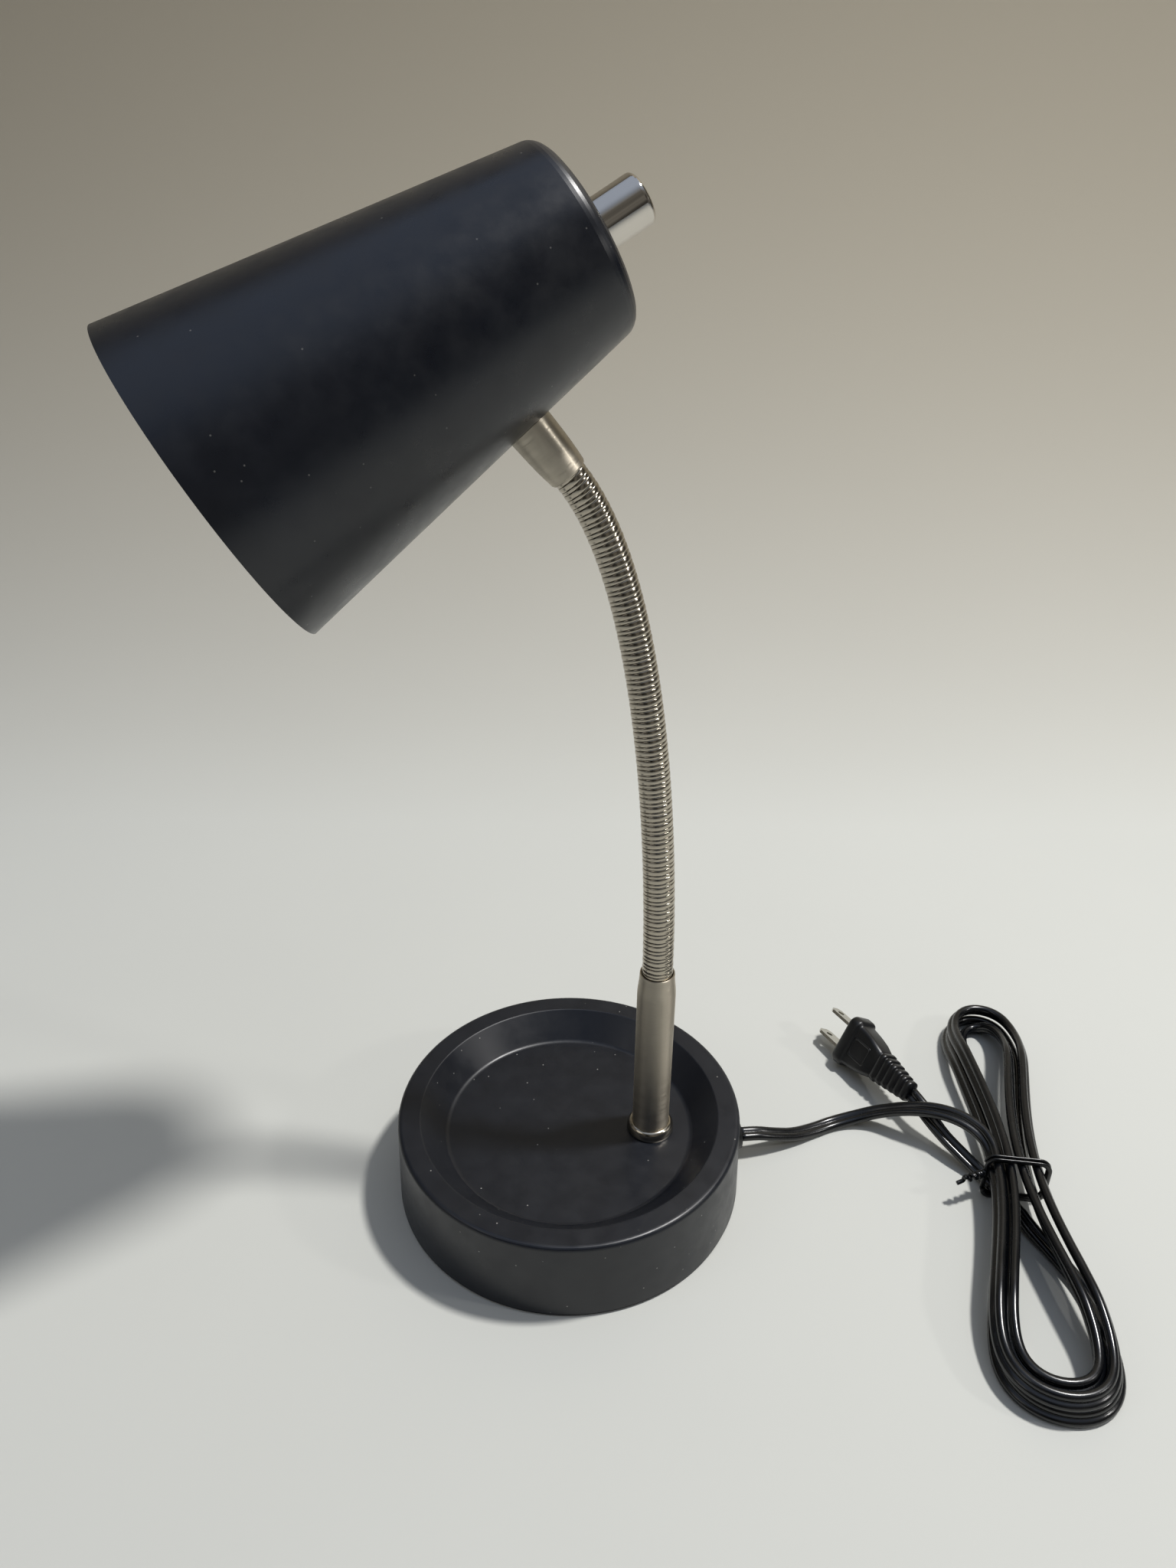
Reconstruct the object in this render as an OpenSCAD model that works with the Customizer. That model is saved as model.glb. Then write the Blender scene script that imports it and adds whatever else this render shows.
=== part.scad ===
// Gooseneck desk lamp: tray base, post, wound gooseneck, cone shade and turn-knob lampholder.
// The origin is the centre of the underside of the base. +X is the back, where the cord leaves,
// -X is the side that the shade looks to, and +Z is up.

/* [Base] */
// Diameter of the base at the desk
base_d = 152; // [130:1:180]
// How far the side of the base leans in on its way up
base_draft = 1; // [0:0.25:3]
// Height of the base with its pad
base_h = 39; // [32:1:46]
// Wall of the base shell
base_wall = 1.6; // [1:0.2:2.4]
// Width of the flat rim round the tray
rim_w = 10.3; // [7:0.1:14]
// Depth of the tray recess
tray_depth = 11; // [7:0.5:15]
// Width of the sloping tray wall, seen from above
tray_slope_w = 10.5; // [6:0.5:14]
// Thickness of the soft pad under the base
pad_t = 1.5; // [1:0.1:3]
// Thickness of the steel bottom plate
plate_t = 1.6; // [1:0.1:2.5]
// Thickness of the cast weight
weight_t = 13; // [9:0.5:14]
// Number of screws that hold the bottom plate
plate_screws = 3; // [3:1:6]

/* [Post] */
// Distance of the post from the centre of the base
post_x = 36; // [30:1:40]
// Diameter of the post tube
post_d = 16; // [15.6:0.2:18]
// Wall of the post tube
post_wall = 1; // [0.8:0.1:1.2]
// Height of the post tube above the tray floor
post_h = 87; // [60:1:110]
// Length of the drawn-in mouth at the top of the post
mouth_len = 11; // [8:0.5:15]
// Diameter of the ring at the foot of the post
flange_d = 20.4; // [19:0.2:26]
// Height of the ring at the foot of the post
flange_h = 4.6; // [3:0.2:7]
// Diameter of the threaded pipe that holds the post and carries the leads
nipple_d = 9.7; // [9:0.1:10.5]
// Bore of the threaded pipe
nipple_bore = 6.8; // [6:0.1:7]

/* [Gooseneck] */
// Outside diameter of the wound gooseneck
neck_d = 12.7; // [11.8:0.1:13]
// Bore of the gooseneck
neck_bore = 8.4; // [7.6:0.1:9]
// Distance from one turn of the winding to the next
neck_pitch = 3.75; // [3:0.05:5]
// Depth of the groove between two turns
neck_groove = 0.7; // [0.3:0.05:1]
// Pull of the curve upwards out of the post
neck_pull_low = 63; // [45:1:75]
// Pull of the curve back out of the shade's sleeve
neck_pull_high = 48.5; // [40:1:60]
// Diameter of each insulated lead
lead_d = 2.5; // [2:0.1:2.6]

/* [Head] */
// Centre of the shade's mouth
head_at = [-117, 0.5, 313.5]; // [-400:0.5:400]
// Angle of the shade's axis above level
head_lift = 29.4; // [15:0.1:45]
// Angle of the shade's axis from the line of base and post
head_turn = 18.5; // [0:0.1:30]
// Diameter of the shade's mouth
shade_d = 115; // [105:1:130]
// Diameter of the shade's back, before its edge is rounded
shade_back_d = 65; // [62:1:75]
// Length of the shade
shade_len = 147; // [140:1:160]
// Wall of the shade
shade_wall = 0.8; // [0.7:0.1:1.5]
// Radius of the rounded edge at the back
shade_edge_r = 6; // [4:0.5:9]
// Distance of the sleeve's middle from the back of the shade, along the shade's axis
sleeve_from_back = 55; // [51:0.5:59]
// Turn of the sleeve round the shade's axis
sleeve_turn = -9.2; // [-20:0.1:20]
// Length of the sleeve outside the shade
sleeve_len = 21; // [18:0.5:30]
// Diameter of the sleeve at the shade
sleeve_d = 17; // [16:0.2:19]

/* [Lampholder] */
// Bore of the screw shell for a 26 mm lamp cap
shell_bore = 26.4; // [26:0.1:27]
// Wall of the screw shell
shell_wall = 0.8; // [0.5:0.1:1]
// Length of the screw shell
shell_len = 24; // [20:0.5:27]
// Outside diameter of the lampholder at its mouth
holder_d = 38; // [35:0.5:41]
// Length of the lampholder's body
holder_len = 38; // [35:0.5:42]
// Diameter of the switch housing behind the lampholder
switch_d = 33; // [31:0.5:36]
// Length of the switch housing
switch_len = 20; // [17:0.5:22]

/* [Knob] */
// Diameter of the knob
knob_d = 17.6; // [17.6:0.2:22]
// Length of the knob
knob_len = 21.5; // [16:0.5:26]
// Radius of the knob's rounded end
knob_round = 1.8; // [1:0.1:3]
// Diameter of the switch shaft
shaft_d = 6; // [5.4:0.1:6.4]
// Diameter of the threaded switch bush
bush_d = 9.8; // [9:0.1:10.4]

/* [Cord] */
// Width of the flat two-core cord
cord_w = 7.4; // [7:0.1:7.6]
// Thickness of the flat two-core cord
cord_t = 3.8; // [3.4:0.1:3.9]
// Angle round the base at which the cord leaves it
cord_exit_turn = 8; // [0:1:12]
// Height at which the cord leaves the base
cord_exit_z = 12; // [10:0.5:13]
// Turns in the tied hank
hank_turns = 3.375; // [2.375:0.5:3.875]
// Step between turns that lie side by side
hank_step = 5.3; // [5.2:0.1:6]
// Half the length of the hank's outer turn
hank_half = 112; // [105:1:120]
// Width of the flat tie round the hank
tie_w = 4; // [3:0.5:6]

/* [Plug] */
// Width of the plug's body
plug_w = 24.4; // [23:0.2:28]
// Thickness of the plug's body
plug_t = 13.6; // [11:0.2:15]
// Length of the plug's body without its strain relief
plug_len = 24; // [22:0.5:28]
// Length of the plug's ribbed strain relief
relief_len = 22; // [18:0.5:26]
// Length of the blades
blade_len = 17; // [15:0.5:18]
// Distance between the blades
blade_gap = 12.7; // [12:0.1:13]

/* [Fits] */
// Radial clearance of a running fit
run_fit = 0.05; // [0.03:0.01:0.09]
// Gap between pieces that lie loosely against each other
seat_gap = 0.3; // [0.2:0.05:0.4]
// Clearance round a screw or a pipe in its hole
hole_fit = 0.15; // [0.1:0.05:0.3]

/* [Hidden] */

// Base
round_fn = 96;
small_fn = 32;
nut_w = 1.15;
base_r = base_d / 2;
rim_r = base_r - base_draft;
rim_round = 2;
tray_r = rim_r - rim_w;
floor_r = tray_r - tray_slope_w;
floor_z = base_h - tray_depth;
under_floor_z = floor_z - base_wall;
plate_z = pad_t;
weight_z = plate_z + plate_t;
weight_r = base_r - base_wall - 5;
weight_well_r = 15;
channel_w = cord_w + 5;
screw_ring_r = 52;
screw_d = 4;
screw_head_d = 7.6;

// Post
post_r = post_d / 2;
post_top = floor_z + post_h;
neck_r = neck_d / 2;
mouth_r = neck_r + seat_gap;
mouth_wall = 0.6;
plug_h = 12;
nipple_r = nipple_d / 2;
nipple_drop = 7.5;
washer_t = 1.4;
nut_h = 4;

// Head
taper = (shade_d - shade_back_d) / 2 / shade_len;
taper_a = atan(taper);
sleeve_at = shade_len - sleeve_from_back;
sleeve_seat = cos(taper_a) * (shade_d / 2 - taper * sleeve_at);
neck_end = sleeve_seat + sleeve_len;
sleeve_r = sleeve_d / 2;
tail_r = 4.9;
tail_bore = 3.4;
tail_len = 10;
back_in = shade_len - shade_wall;
switch_face = back_in - switch_len;
holder_mouth = switch_face - holder_len;
shell_r = shell_bore / 2 + shell_wall;
holder_floor = 8;
contact_well = 3;
contact_well_r = 7;
shell_back = switch_face - holder_floor;
bush_r = bush_d / 2;
bush_sink = 5;
bush_out = 5;
bush_nut_h = 2.4;
bush_nut_d = 14.6;
knob_gap = 0.6;
knob_from = shade_len + knob_gap;
knob_skirt = 6;
shaft_r = shaft_d / 2;
shaft_sink = 13;

// Unit vectors of the head: its axis, its x and y, and the way the sleeve points.
head_z = [cos(head_turn) * cos(head_lift), sin(head_turn) * cos(head_lift), sin(head_lift)];
head_x = [cos(head_turn) * sin(head_lift), sin(head_turn) * sin(head_lift), -cos(head_lift)];
head_y = [-sin(head_turn), cos(head_turn), 0];
sleeve_dir = head_x * cos(sleeve_turn) * cos(taper_a) + head_y * sin(sleeve_turn) * cos(taper_a)
    + head_z * sin(taper_a);

// Centre line of the gooseneck, from the mouth of the post to the mouth of the sleeve.
neck_a = [post_x, 0, post_top];
neck_b = head_at + head_z * sleeve_at + sleeve_dir * neck_end;
neck_curve = [neck_a, neck_a + [0, 0, neck_pull_low], neck_b + sleeve_dir * neck_pull_high, neck_b];
neck_steps = 60;
neck_line = [for (i = [0:neck_steps]) bezier(neck_curve, i / neck_steps)];
neck_run = run_lengths(neck_line);
neck_len = neck_run[neck_steps];
neck_held = neck_d;
neck_sides = 8;
neck_tracks = 2;
neck_split = 0.3;
bore_step = 8;

// Cord. Its free points are set by hand, in millimetres, and lie where the cord lies.
bushing_out = 3;
exit_r = base_r + bushing_out;
exit_dir = [cos(cord_exit_turn), sin(cord_exit_turn), 0];
lead_points = [exit_dir * exit_r + [0, 0, cord_exit_z],
    [87, 12.5, 11.2], [96, 15, 8], [105, 18.5, 4.6], [115, 23.5, 2.4], [125, 28, 2.2],
    [135.5, 30, 4.2], [147, 29, 9.2], [158.6, 24.6, 15.5], [168.8, 20, 19.2], [178.8, 14.2, 20.4],
    [185.9, 7.5, 19.6], [188.9, 1, 18.4]];
tail_points = [[212.6, -79.5, 3.4], [213.4, -70.5, 2.9], [212, -61.5, 2.5], [208.8, -52.5, 2.4],
    [204.8, -43.5, 2.8], [200.6, -34.5, 3.2], [197.4, -25.5, 3.4], [194, -16.5, 3.4],
    [190, -8, 3.4], [185.2, -0.5, 4], [179.4, 6.5, 6.4], [174, 13.5, 8.8],
    [169.6, 20.5, 11.4], [165.8, 27.4, 13.8]];
hank_at = [199.5, -7, 0];
hank_tilt = 7;
hank_waist = 10.4;
hank_lobe_near = 42;
hank_lobe_far = 34;
hank_rings = 24;
hank_measure = 72;
hank_roll = 62;
core_shift = (cord_w - cord_t) / 2;
hank_bed = core_shift * sin(hank_roll) + cord_t / 2;
hank_reach = core_shift * cos(hank_roll) + cord_t / 2;
hank_layer = hank_bed * 2 + 0.9;
tail_bed = 3.4;
hank_lift = tail_bed + cord_t / 2 + 0.7;
hank_lift_half = 62;
hank_lift_end = 98;
hank_tuck = 1.6;
hank_drop = 0.2;
hank_power = 2;
hank_flare = 1.8;
hank_flat_end = 0.15;
hank_turn_back = hank_turns / 2;
hank_end = hank_point(hank_turns);
plug_at = [141, 76, 12.6];
plug_turn = [-60, 3, 117.5];
plug_axis = [cos(plug_turn[2]) * cos(plug_turn[1]), sin(plug_turn[2]) * cos(plug_turn[1]),
    -sin(plug_turn[1])];
plug_end = plug_at - plug_axis * (plug_len + relief_len);

// Curves
function bezier(p, t) = pow(1 - t, 3) * p[0] + 3 * pow(1 - t, 2) * t * p[1]
    + 3 * (1 - t) * t * t * p[2] + t * t * t * p[3];
function run_lengths(p) = [for (i = 0, run = 0; i < len(p);
    i = i + 1, run = run + norm(p[min(i, len(p) - 1)] - p[i - 1])) run];
function along(run, p, k, s) = lookup(s, [for (i = [0:len(p) - 1]) [run[i], p[i][k]]]);
function unit(v) = v / norm(v);
function smooth(t) = let (c = max(0, min(1, t))) c * c * (3 - 2 * c);

// Place and direction of the gooseneck's centre line, straight on into the post and the sleeve.
function neck_at(s) = s < 0 ? neck_a + [0, 0, s]
    : s > neck_len ? neck_b - sleeve_dir * (s - neck_len)
    : [for (k = [0:2]) along(neck_run, neck_line, k, s)];
function neck_dir(s) = unit(neck_at(s + 1) - neck_at(s - 1));
function neck_side(s) = unit(cross([0, 1, 0], neck_dir(s)));
function neck_point(s, r, a) = let (d = neck_dir(s), u = neck_side(s), v = cross(d, u))
    neck_at(s) + r * (cos(a) * u + sin(a) * v);

// Rings of a tube along points; flat sections keep their width level unless ref says otherwise.
function side_at(d, ref) = unit(cross(ref, d));
function dir_at(p, i) = unit(p[min(i + 1, len(p) - 1)] - p[max(i - 1, 0)]);
function ring(c, d, ref, section) = let (u = side_at(d, ref), v = cross(d, u))
    [for (q = section) c + q[0] * u + q[1] * v];
function round_section(r, n) = [for (k = [0:n - 1]) r * [cos(360 * k / n), sin(360 * k / n)]];
function flat_section8(w, t) = let (a = w / 2, b = t / 2) [[a, -b / 2], [a, b / 2], [a - b / 2, b],
    [-a + b / 2, b], [-a, b / 2], [-a, -b / 2], [-a + b / 2, -b], [a - b / 2, -b]];
function flat_section6(w, t) = let (a = w / 2, b = t / 2)
    [[a, 0], [a - b * 0.6, b], [-a + b * 0.6, b], [-a, 0], [-a + b * 0.6, -b], [a - b * 0.6, -b]];

// The hank: a spiral in and out again in two layers, drawn in at its waist. The cord stands in it
// on one edge and leans, and the last stretch lies a little apart and isn't lifted.
function hank_offset(u) = hank_step * min(u, hank_turns - u)
    + hank_tuck * (1 - smooth((abs(u - hank_turn_back) - 0.12) / 0.2))
    - hank_flare * smooth((u - hank_turns + hank_flat_end) / hank_flat_end);
function hank_layer_z(u) = hank_layer * (1 - smooth((u - hank_turn_back) / hank_drop + 0.5));
function hank_lift_at(u, v) = u > hank_turns - hank_flat_end ? 0
    : hank_lift * (1 - smooth((abs(v) - hank_lift_half) / (hank_lift_end - hank_lift_half)));
function hank_flat(u) = let (c = cos(360 * u), d = sin(360 * u),
    lobe = d > 0 ? hank_lobe_near : hank_lobe_far,
    k = hank_waist + lobe * pow(abs(d), hank_power),
    bend = hank_power * lobe * sign(d) * pow(abs(d), hank_power - 1),
    t = unit([d * k - bend * c * c, -hank_half * c]), o = hank_offset(u))
    [-c * k - o * t[1], -hank_half * d + o * t[0], hank_layer_z(u)];
function hank_local(u) = let (p = hank_flat(u)) [p[0], p[1], hank_bed + p[2] + hank_lift_at(u, p[1])];
function hank_turned(p) = hank_at + [p[0] * cos(hank_tilt) + p[1] * sin(hank_tilt),
    -p[0] * sin(hank_tilt) + p[1] * cos(hank_tilt), p[2]];
function hank_point(u) = hank_turned(hank_local(u));
function hank_list(n) = let (m = round(hank_turns * n))
    [for (i = [0:m]) hank_point(hank_turns * i / m)];

// The least gap between two stretches of the hank. Each place of the cord is taken as two round
// cores and the web between them.
function across_at(points, i) = let (d = dir_at(points, i), s = unit(cross([0, 0, 1], d)))
    s * cos(hank_roll) + cross(d, s) * sin(hank_roll);
function off_web(p, c, a) = norm(p - c - a * min(core_shift, max(-core_shift, (p - c) * a)));
function web_gap(c, a, e, b) = min([for (h = [-core_shift, 0, core_shift])
    min(off_web(c + a * h, e, b), off_web(e + b * h, c, a))]) - cord_t;
function hank_gap(n, skip) = let (p = hank_list(n), a = [for (i = [0:len(p) - 1]) across_at(p, i)])
    min([for (i = [0:len(p) - 1 - skip]) for (j = [i + skip:len(p) - 1])
        if (norm(p[j] - p[i]) < cord_w * 2) web_gap(p[i], a[i], p[j], a[j])]);

// A closed tube through rings of equal length.
module tube_through(rings) {
    n = len(rings[0]);
    m = len(rings);
    points = [for (r = rings) for (q = r) q];
    sides = [for (i = [0:m - 2]) for (k = [0:n - 1]) let (a = i * n + k, b = i * n + (k + 1) % n)
        each [[a, a + n, b + n], [a, b + n, b]]];
    first = [for (k = [1:n - 2]) [0, k, k + 1]];
    last = [for (k = [1:n - 2]) let (z = (m - 1) * n) [z, z + k + 1, z + k]];
    polyhedron(points, concat(sides, first, last), convexity = 10);
}

// A tube along points. Its section may turn, by one angle for each point.
module swept(points, section, ref = [0, 0, 1], start_dir = undef, end_dir = undef, turns = undef) {
    m = len(points) - 1;
    tube_through([for (i = [0:m]) let (a = is_undef(turns) ? 0 : turns[i])
        ring(points[i], i == 0 && !is_undef(start_dir) ? start_dir
            : i == m && !is_undef(end_dir) ? end_dir : dir_at(points, i), ref,
            [for (q = section) [q[0] * cos(a) - q[1] * sin(a), q[0] * sin(a) + q[1] * cos(a)]])]);
}

module head_frame() {
    translate(head_at) rotate([0, 90 - head_lift, head_turn]) children();
}

module sleeve_frame() {
    head_frame() translate([0, 0, sleeve_at]) rotate([0, 90 - taper_a, sleeve_turn]) children();
}

module ring_solid(r_out, r_in, h, fn = small_fn) {
    difference() {
        cylinder(r = r_out, h = h, $fn = fn);
        translate([0, 0, -1]) cylinder(r = r_in, h = h + 2, $fn = fn);
    }
}

module hex_nut(across, bore_r, h) {
    difference() {
        cylinder(d = across * nut_w, h = h, $fn = 6);
        translate([0, 0, -1]) cylinder(r = bore_r, h = h + 2, $fn = small_fn);
    }
}

// Arc of points round c, from angle a to angle b.
function arc(c, r, a, b, n = 6) = [for (i = [0:n]) c + r * [cos(a + (b - a) * i / n),
    sin(a + (b - a) * i / n)]];

// Base
module base_shell() {
    inner_round = rim_round - base_wall / 2;
    outside = concat([[base_r, pad_t]],
        arc([rim_r - rim_round, base_h - rim_round], rim_round, 0, 90),
        arc([tray_r + 1, base_h - 1], 1, 90, 135, 3), [[floor_r, floor_z], [0, floor_z]]);
    inside = concat([[0, under_floor_z], [floor_r + base_wall * 0.6, under_floor_z],
        [tray_r + base_wall * 0.6, base_h - base_wall]],
        arc([rim_r - base_wall - inner_round, base_h - base_wall - inner_round], inner_round, 90, 0),
        [[base_r - base_wall, pad_t]]);
    color("#17181a") difference() {
        rotate_extrude($fn = round_fn) polygon(concat(outside, inside));
        translate([post_x, 0, under_floor_z - 1])
            cylinder(r = nipple_r + hole_fit, h = base_wall + 2, $fn = small_fn);
        rotate([0, 0, cord_exit_turn]) translate([base_r - 8, 0, cord_exit_z]) rotate([0, 90, 0])
            cylinder(r = cord_w / 2 + 1.6 + hole_fit, h = 16, $fn = small_fn);
    }
}

module foot_pad() {
    color("#0d0d0e") cylinder(r = base_r - 0.8, h = pad_t, $fn = round_fn);
}

module screw_places() {
    for (i = [0:plate_screws - 1]) rotate([0, 0, 60 + 360 * i / plate_screws])
        translate([screw_ring_r, 0, 0]) children();
}

module bottom_plate() {
    color("#6d7072") translate([0, 0, plate_z]) difference() {
        cylinder(r = base_r - base_wall - hole_fit, h = plate_t, $fn = round_fn);
        screw_places() translate([0, 0, -1])
            cylinder(d = screw_head_d + 2 * hole_fit, h = plate_t + 2, $fn = small_fn);
    }
}

module plate_screws() {
    color("#9a9b9c") screw_places() translate([0, 0, plate_z]) {
        cylinder(d = screw_head_d, h = plate_t, $fn = small_fn);
        translate([0, 0, plate_t]) cylinder(d = screw_d, h = weight_t - 3, $fn = small_fn);
    }
}

module base_weight() {
    color("#3c3d3f") translate([0, 0, weight_z]) difference() {
        cylinder(r = weight_r, h = weight_t, $fn = round_fn);
        translate([post_x, 0, -1]) cylinder(r = weight_well_r, h = weight_t + 2, $fn = small_fn);
        rotate([0, 0, cord_exit_turn]) translate([post_x + 4, -channel_w / 2, -1])
            cube([base_r, channel_w, weight_t + 2]);
        screw_places() translate([0, 0, -1])
            cylinder(d = screw_d + 2 * hole_fit, h = weight_t - 1, $fn = small_fn);
    }
}

module cord_bushing() {
    collar_r = cord_w / 2 + 1.6;
    color("#101011") rotate([0, 0, cord_exit_turn]) translate([0, 0, cord_exit_z])
        rotate([0, 90, 0]) difference() {
        union() {
            translate([0, 0, base_r - 7]) cylinder(r = collar_r, h = 7 + bushing_out - 0.6,
                $fn = small_fn);
            translate([0, 0, base_r + seat_gap]) cylinder(r1 = collar_r + 2, r2 = collar_r + 0.6,
                h = bushing_out - seat_gap, $fn = small_fn);
        }
        translate([-cord_t / 2 - 0.3, -cord_w / 2 - 0.3, base_r - 8])
            cube([cord_t + 0.6, cord_w + 0.6, 20]);
    }
}

inner_points = [exit_dir * (base_r + bushing_out) + [0, 0, cord_exit_z],
    exit_dir * (base_r - 8) + [0, 0, cord_exit_z], [60, 8.3, 11.5], [53, 7.2, 11]];

module cord_inner() {
    color("#121213") swept(inner_points, flat_section8(cord_w, cord_t), start_dir = -exit_dir);
}

module wire_caps() {
    color("#2d2e30") for (side = [-1, 1]) translate([45, side * 4.6 + 1, 11])
        rotate([0, -90, 0]) difference() {
            cylinder(r1 = 4, r2 = 2.6, h = 11, $fn = small_fn);
            translate([0, 0, -1]) cylinder(r = lead_d / 2 + 0.3, h = 7, $fn = small_fn);
        }
}

// Post
module post_tube() {
    top = post_h;
    color("#b9b6ae") translate([post_x, 0, floor_z]) rotate_extrude($fn = round_fn)
        polygon(concat([[post_r - post_wall, 0], [post_r, 0], [post_r, top - mouth_len]],
            [for (i = [1:6]) let (t = i / 6) [post_r + (mouth_r + mouth_wall - post_r) * smooth(t),
                top - mouth_len + t * (mouth_len - 0.8)]],
            [[mouth_r + mouth_wall - 0.1, top], [mouth_r, top]],
            [for (i = [0:6]) let (t = 1 - i / 6) [post_r - post_wall
                + (mouth_r - post_r + post_wall) * smooth(t),
                top - mouth_len + t * (mouth_len - 0.8)]]));
}

module post_flange() {
    flange_r = flange_d / 2;
    edge = (flange_r - post_r - hole_fit) / 2;
    color("#c4c3c0") translate([post_x, 0, floor_z]) rotate_extrude($fn = round_fn)
        polygon(concat([[post_r + hole_fit, 0], [flange_r, 0]],
            arc([flange_r - edge, flange_h - edge], edge, 0, 180)));
}

module post_plug() {
    color("#8d8b84") translate([post_x, 0, floor_z])
        ring_solid(post_r - post_wall, nipple_r, plug_h);
}

module post_nipple() {
    color("#b09a5a") translate([post_x, 0, under_floor_z - nipple_drop])
        ring_solid(nipple_r, nipple_bore / 2, nipple_drop + base_wall + plug_h);
}

module post_washer() {
    color("#8f9092") translate([post_x, 0, under_floor_z - washer_t])
        ring_solid(11, nipple_r + hole_fit, washer_t);
}

module post_nut() {
    color("#8f9092") translate([post_x, 0, under_floor_z - washer_t - nut_h])
        hex_nut(14, nipple_r, nut_h);
}

module post_leads() {
    lead_shift = lead_d / 2 + 0.1;
    color("#c9c7c0") for (side = [-1, 1]) swept([[40, side * 4.6 + 1, 11],
        [46, side * 4.6 + 1, 11], [48.4, side * 4.2 + 0.9, 13.2], [46, side * 3.4 + 0.6, 15.8],
        [41, side * 2.2 + 0.3, 16.8], [37.2, side * 1.5, 17.6], [post_x, side * lead_shift, 19.6],
        [post_x, side * lead_shift, 26], [post_x, side * lead_shift, post_top - neck_held - neck_split]],
        round_section(lead_d / 2, 6), ref = [0, 1, 0], end_dir = [0, 0, 1]);
}

// Gooseneck: one helical ridge on a bored tube, its turns fading out at both ends of a section.
module wound_tube(s_from, s_to) {
    n = neck_sides;
    m = neck_tracks;
    plain = 1.2;
    r_plain = neck_r - neck_groove - 0.35;
    s_a = s_from + plain;
    turns = floor((s_to - s_from - 2 * plain) / neck_pitch - (m - 1) / m);
    lead = (s_to - s_from - 2 * plain) / (turns + (m - 1) / m);
    steps = turns * n;
    s_b = s_to - plain;
    function fade(s) = min(1, max(0, (s - s_a) / lead * 2)) * min(1, max(0, (s_b - s) / lead * 2));
    function track_s(t, i) = s_a + lead * (i / n + t / m);
    function track_r(t, s) = neck_r - neck_groove + (t == 0 ? 0 : neck_groove * fade(s));
    winding = [for (t = [0:m - 1]) for (i = [0:steps]) let (s = track_s(t, i))
        neck_point(s, track_r(t, s), 360 * i / n)];
    bore_rings = max(1, round((s_to - s_from) / bore_step));
    cap_a = [for (k = [0:n - 1]) neck_point(s_from, r_plain, 360 * k / n)];
    cap_b = [for (k = [0:n - 1]) neck_point(s_to, r_plain, 360 * k / n)];
    bore = [for (j = [0:bore_rings]) for (k = [0:n - 1])
        neck_point(s_from + (s_to - s_from) * j / bore_rings, neck_bore / 2, 360 * k / n)];
    w = steps + 1;
    a0 = m * w;
    b0 = a0 + n;
    c0 = b0 + n;
    c1 = c0 + bore_rings * n;
    function quad(a, b, c, d) = [[a, b, c], [a, c, d]];
    faces = concat(
        [for (t = [0:m - 2]) for (i = [0:steps - 1])
            each quad(t * w + i, (t + 1) * w + i, (t + 1) * w + i + 1, t * w + i + 1)],
        [for (i = [0:steps - 1 - n]) let (q = (m - 1) * w)
            each quad(q + i, i + n, i + n + 1, q + i + 1)],
        [for (k = [0:n - 1]) each quad(a0 + k, k, k + 1, a0 + (k + 1) % n)],
        [[a0, n, w], [a0, w, 0]],
        [for (k = [0:n - 1]) let (q = (m - 1) * w + steps - n)
            each quad(q + k, b0 + k, b0 + (k + 1) % n, q + k + 1)],
        [[b0, (m - 1) * w + steps - n, steps], [b0, steps, w + steps]],
        [for (k = [0:n - 1]) let (e = (k + 1) % n) each quad(a0 + k, a0 + e, c0 + e, c0 + k)],
        [for (k = [0:n - 1]) let (e = (k + 1) % n) each quad(b0 + e, b0 + k, c1 + k, c1 + e)],
        [for (j = [0:bore_rings - 1]) for (k = [0:n - 1]) let (q = c0 + j * n, e = (k + 1) % n)
            each quad(q + k, q + e, q + n + e, q + n + k)]);
    polyhedron(concat(winding, cap_a, cap_b, bore), faces, convexity = 10);
}

module neck_leads(s_from, s_to) {
    rings = 7;
    for (side = [-1, 1]) tube_through([for (i = [0:rings]) let (
        s = s_from + (s_to - s_from) * i / rings, d = neck_dir(s), v = cross(d, neck_side(s)))
        [for (q = round_section(lead_d / 2, 6)) neck_at(s) + q[0] * neck_side(s)
            + (q[1] + side * (lead_d / 2 + 0.1)) * v]]);
}

module neck_section(s_from, s_to) {
    color("#a9a69f") wound_tube(s_from, s_to);
    color("#c9c7c0") neck_leads(s_from, s_to);
}

module neck_lower() { neck_section(-neck_held, neck_len / 3 - neck_split / 2); }
module neck_middle() {
    neck_section(neck_len / 3 + neck_split / 2, neck_len * 2 / 3 - neck_split / 2);
}
module neck_upper() { neck_section(neck_len * 2 / 3 + neck_split / 2, neck_len + neck_held); }

// Head
module shade_cone(extra) {
    cylinder(r1 = shade_d / 2 + extra, r2 = shade_back_d / 2 + extra, h = shade_len, $fn = round_fn);
}

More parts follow.
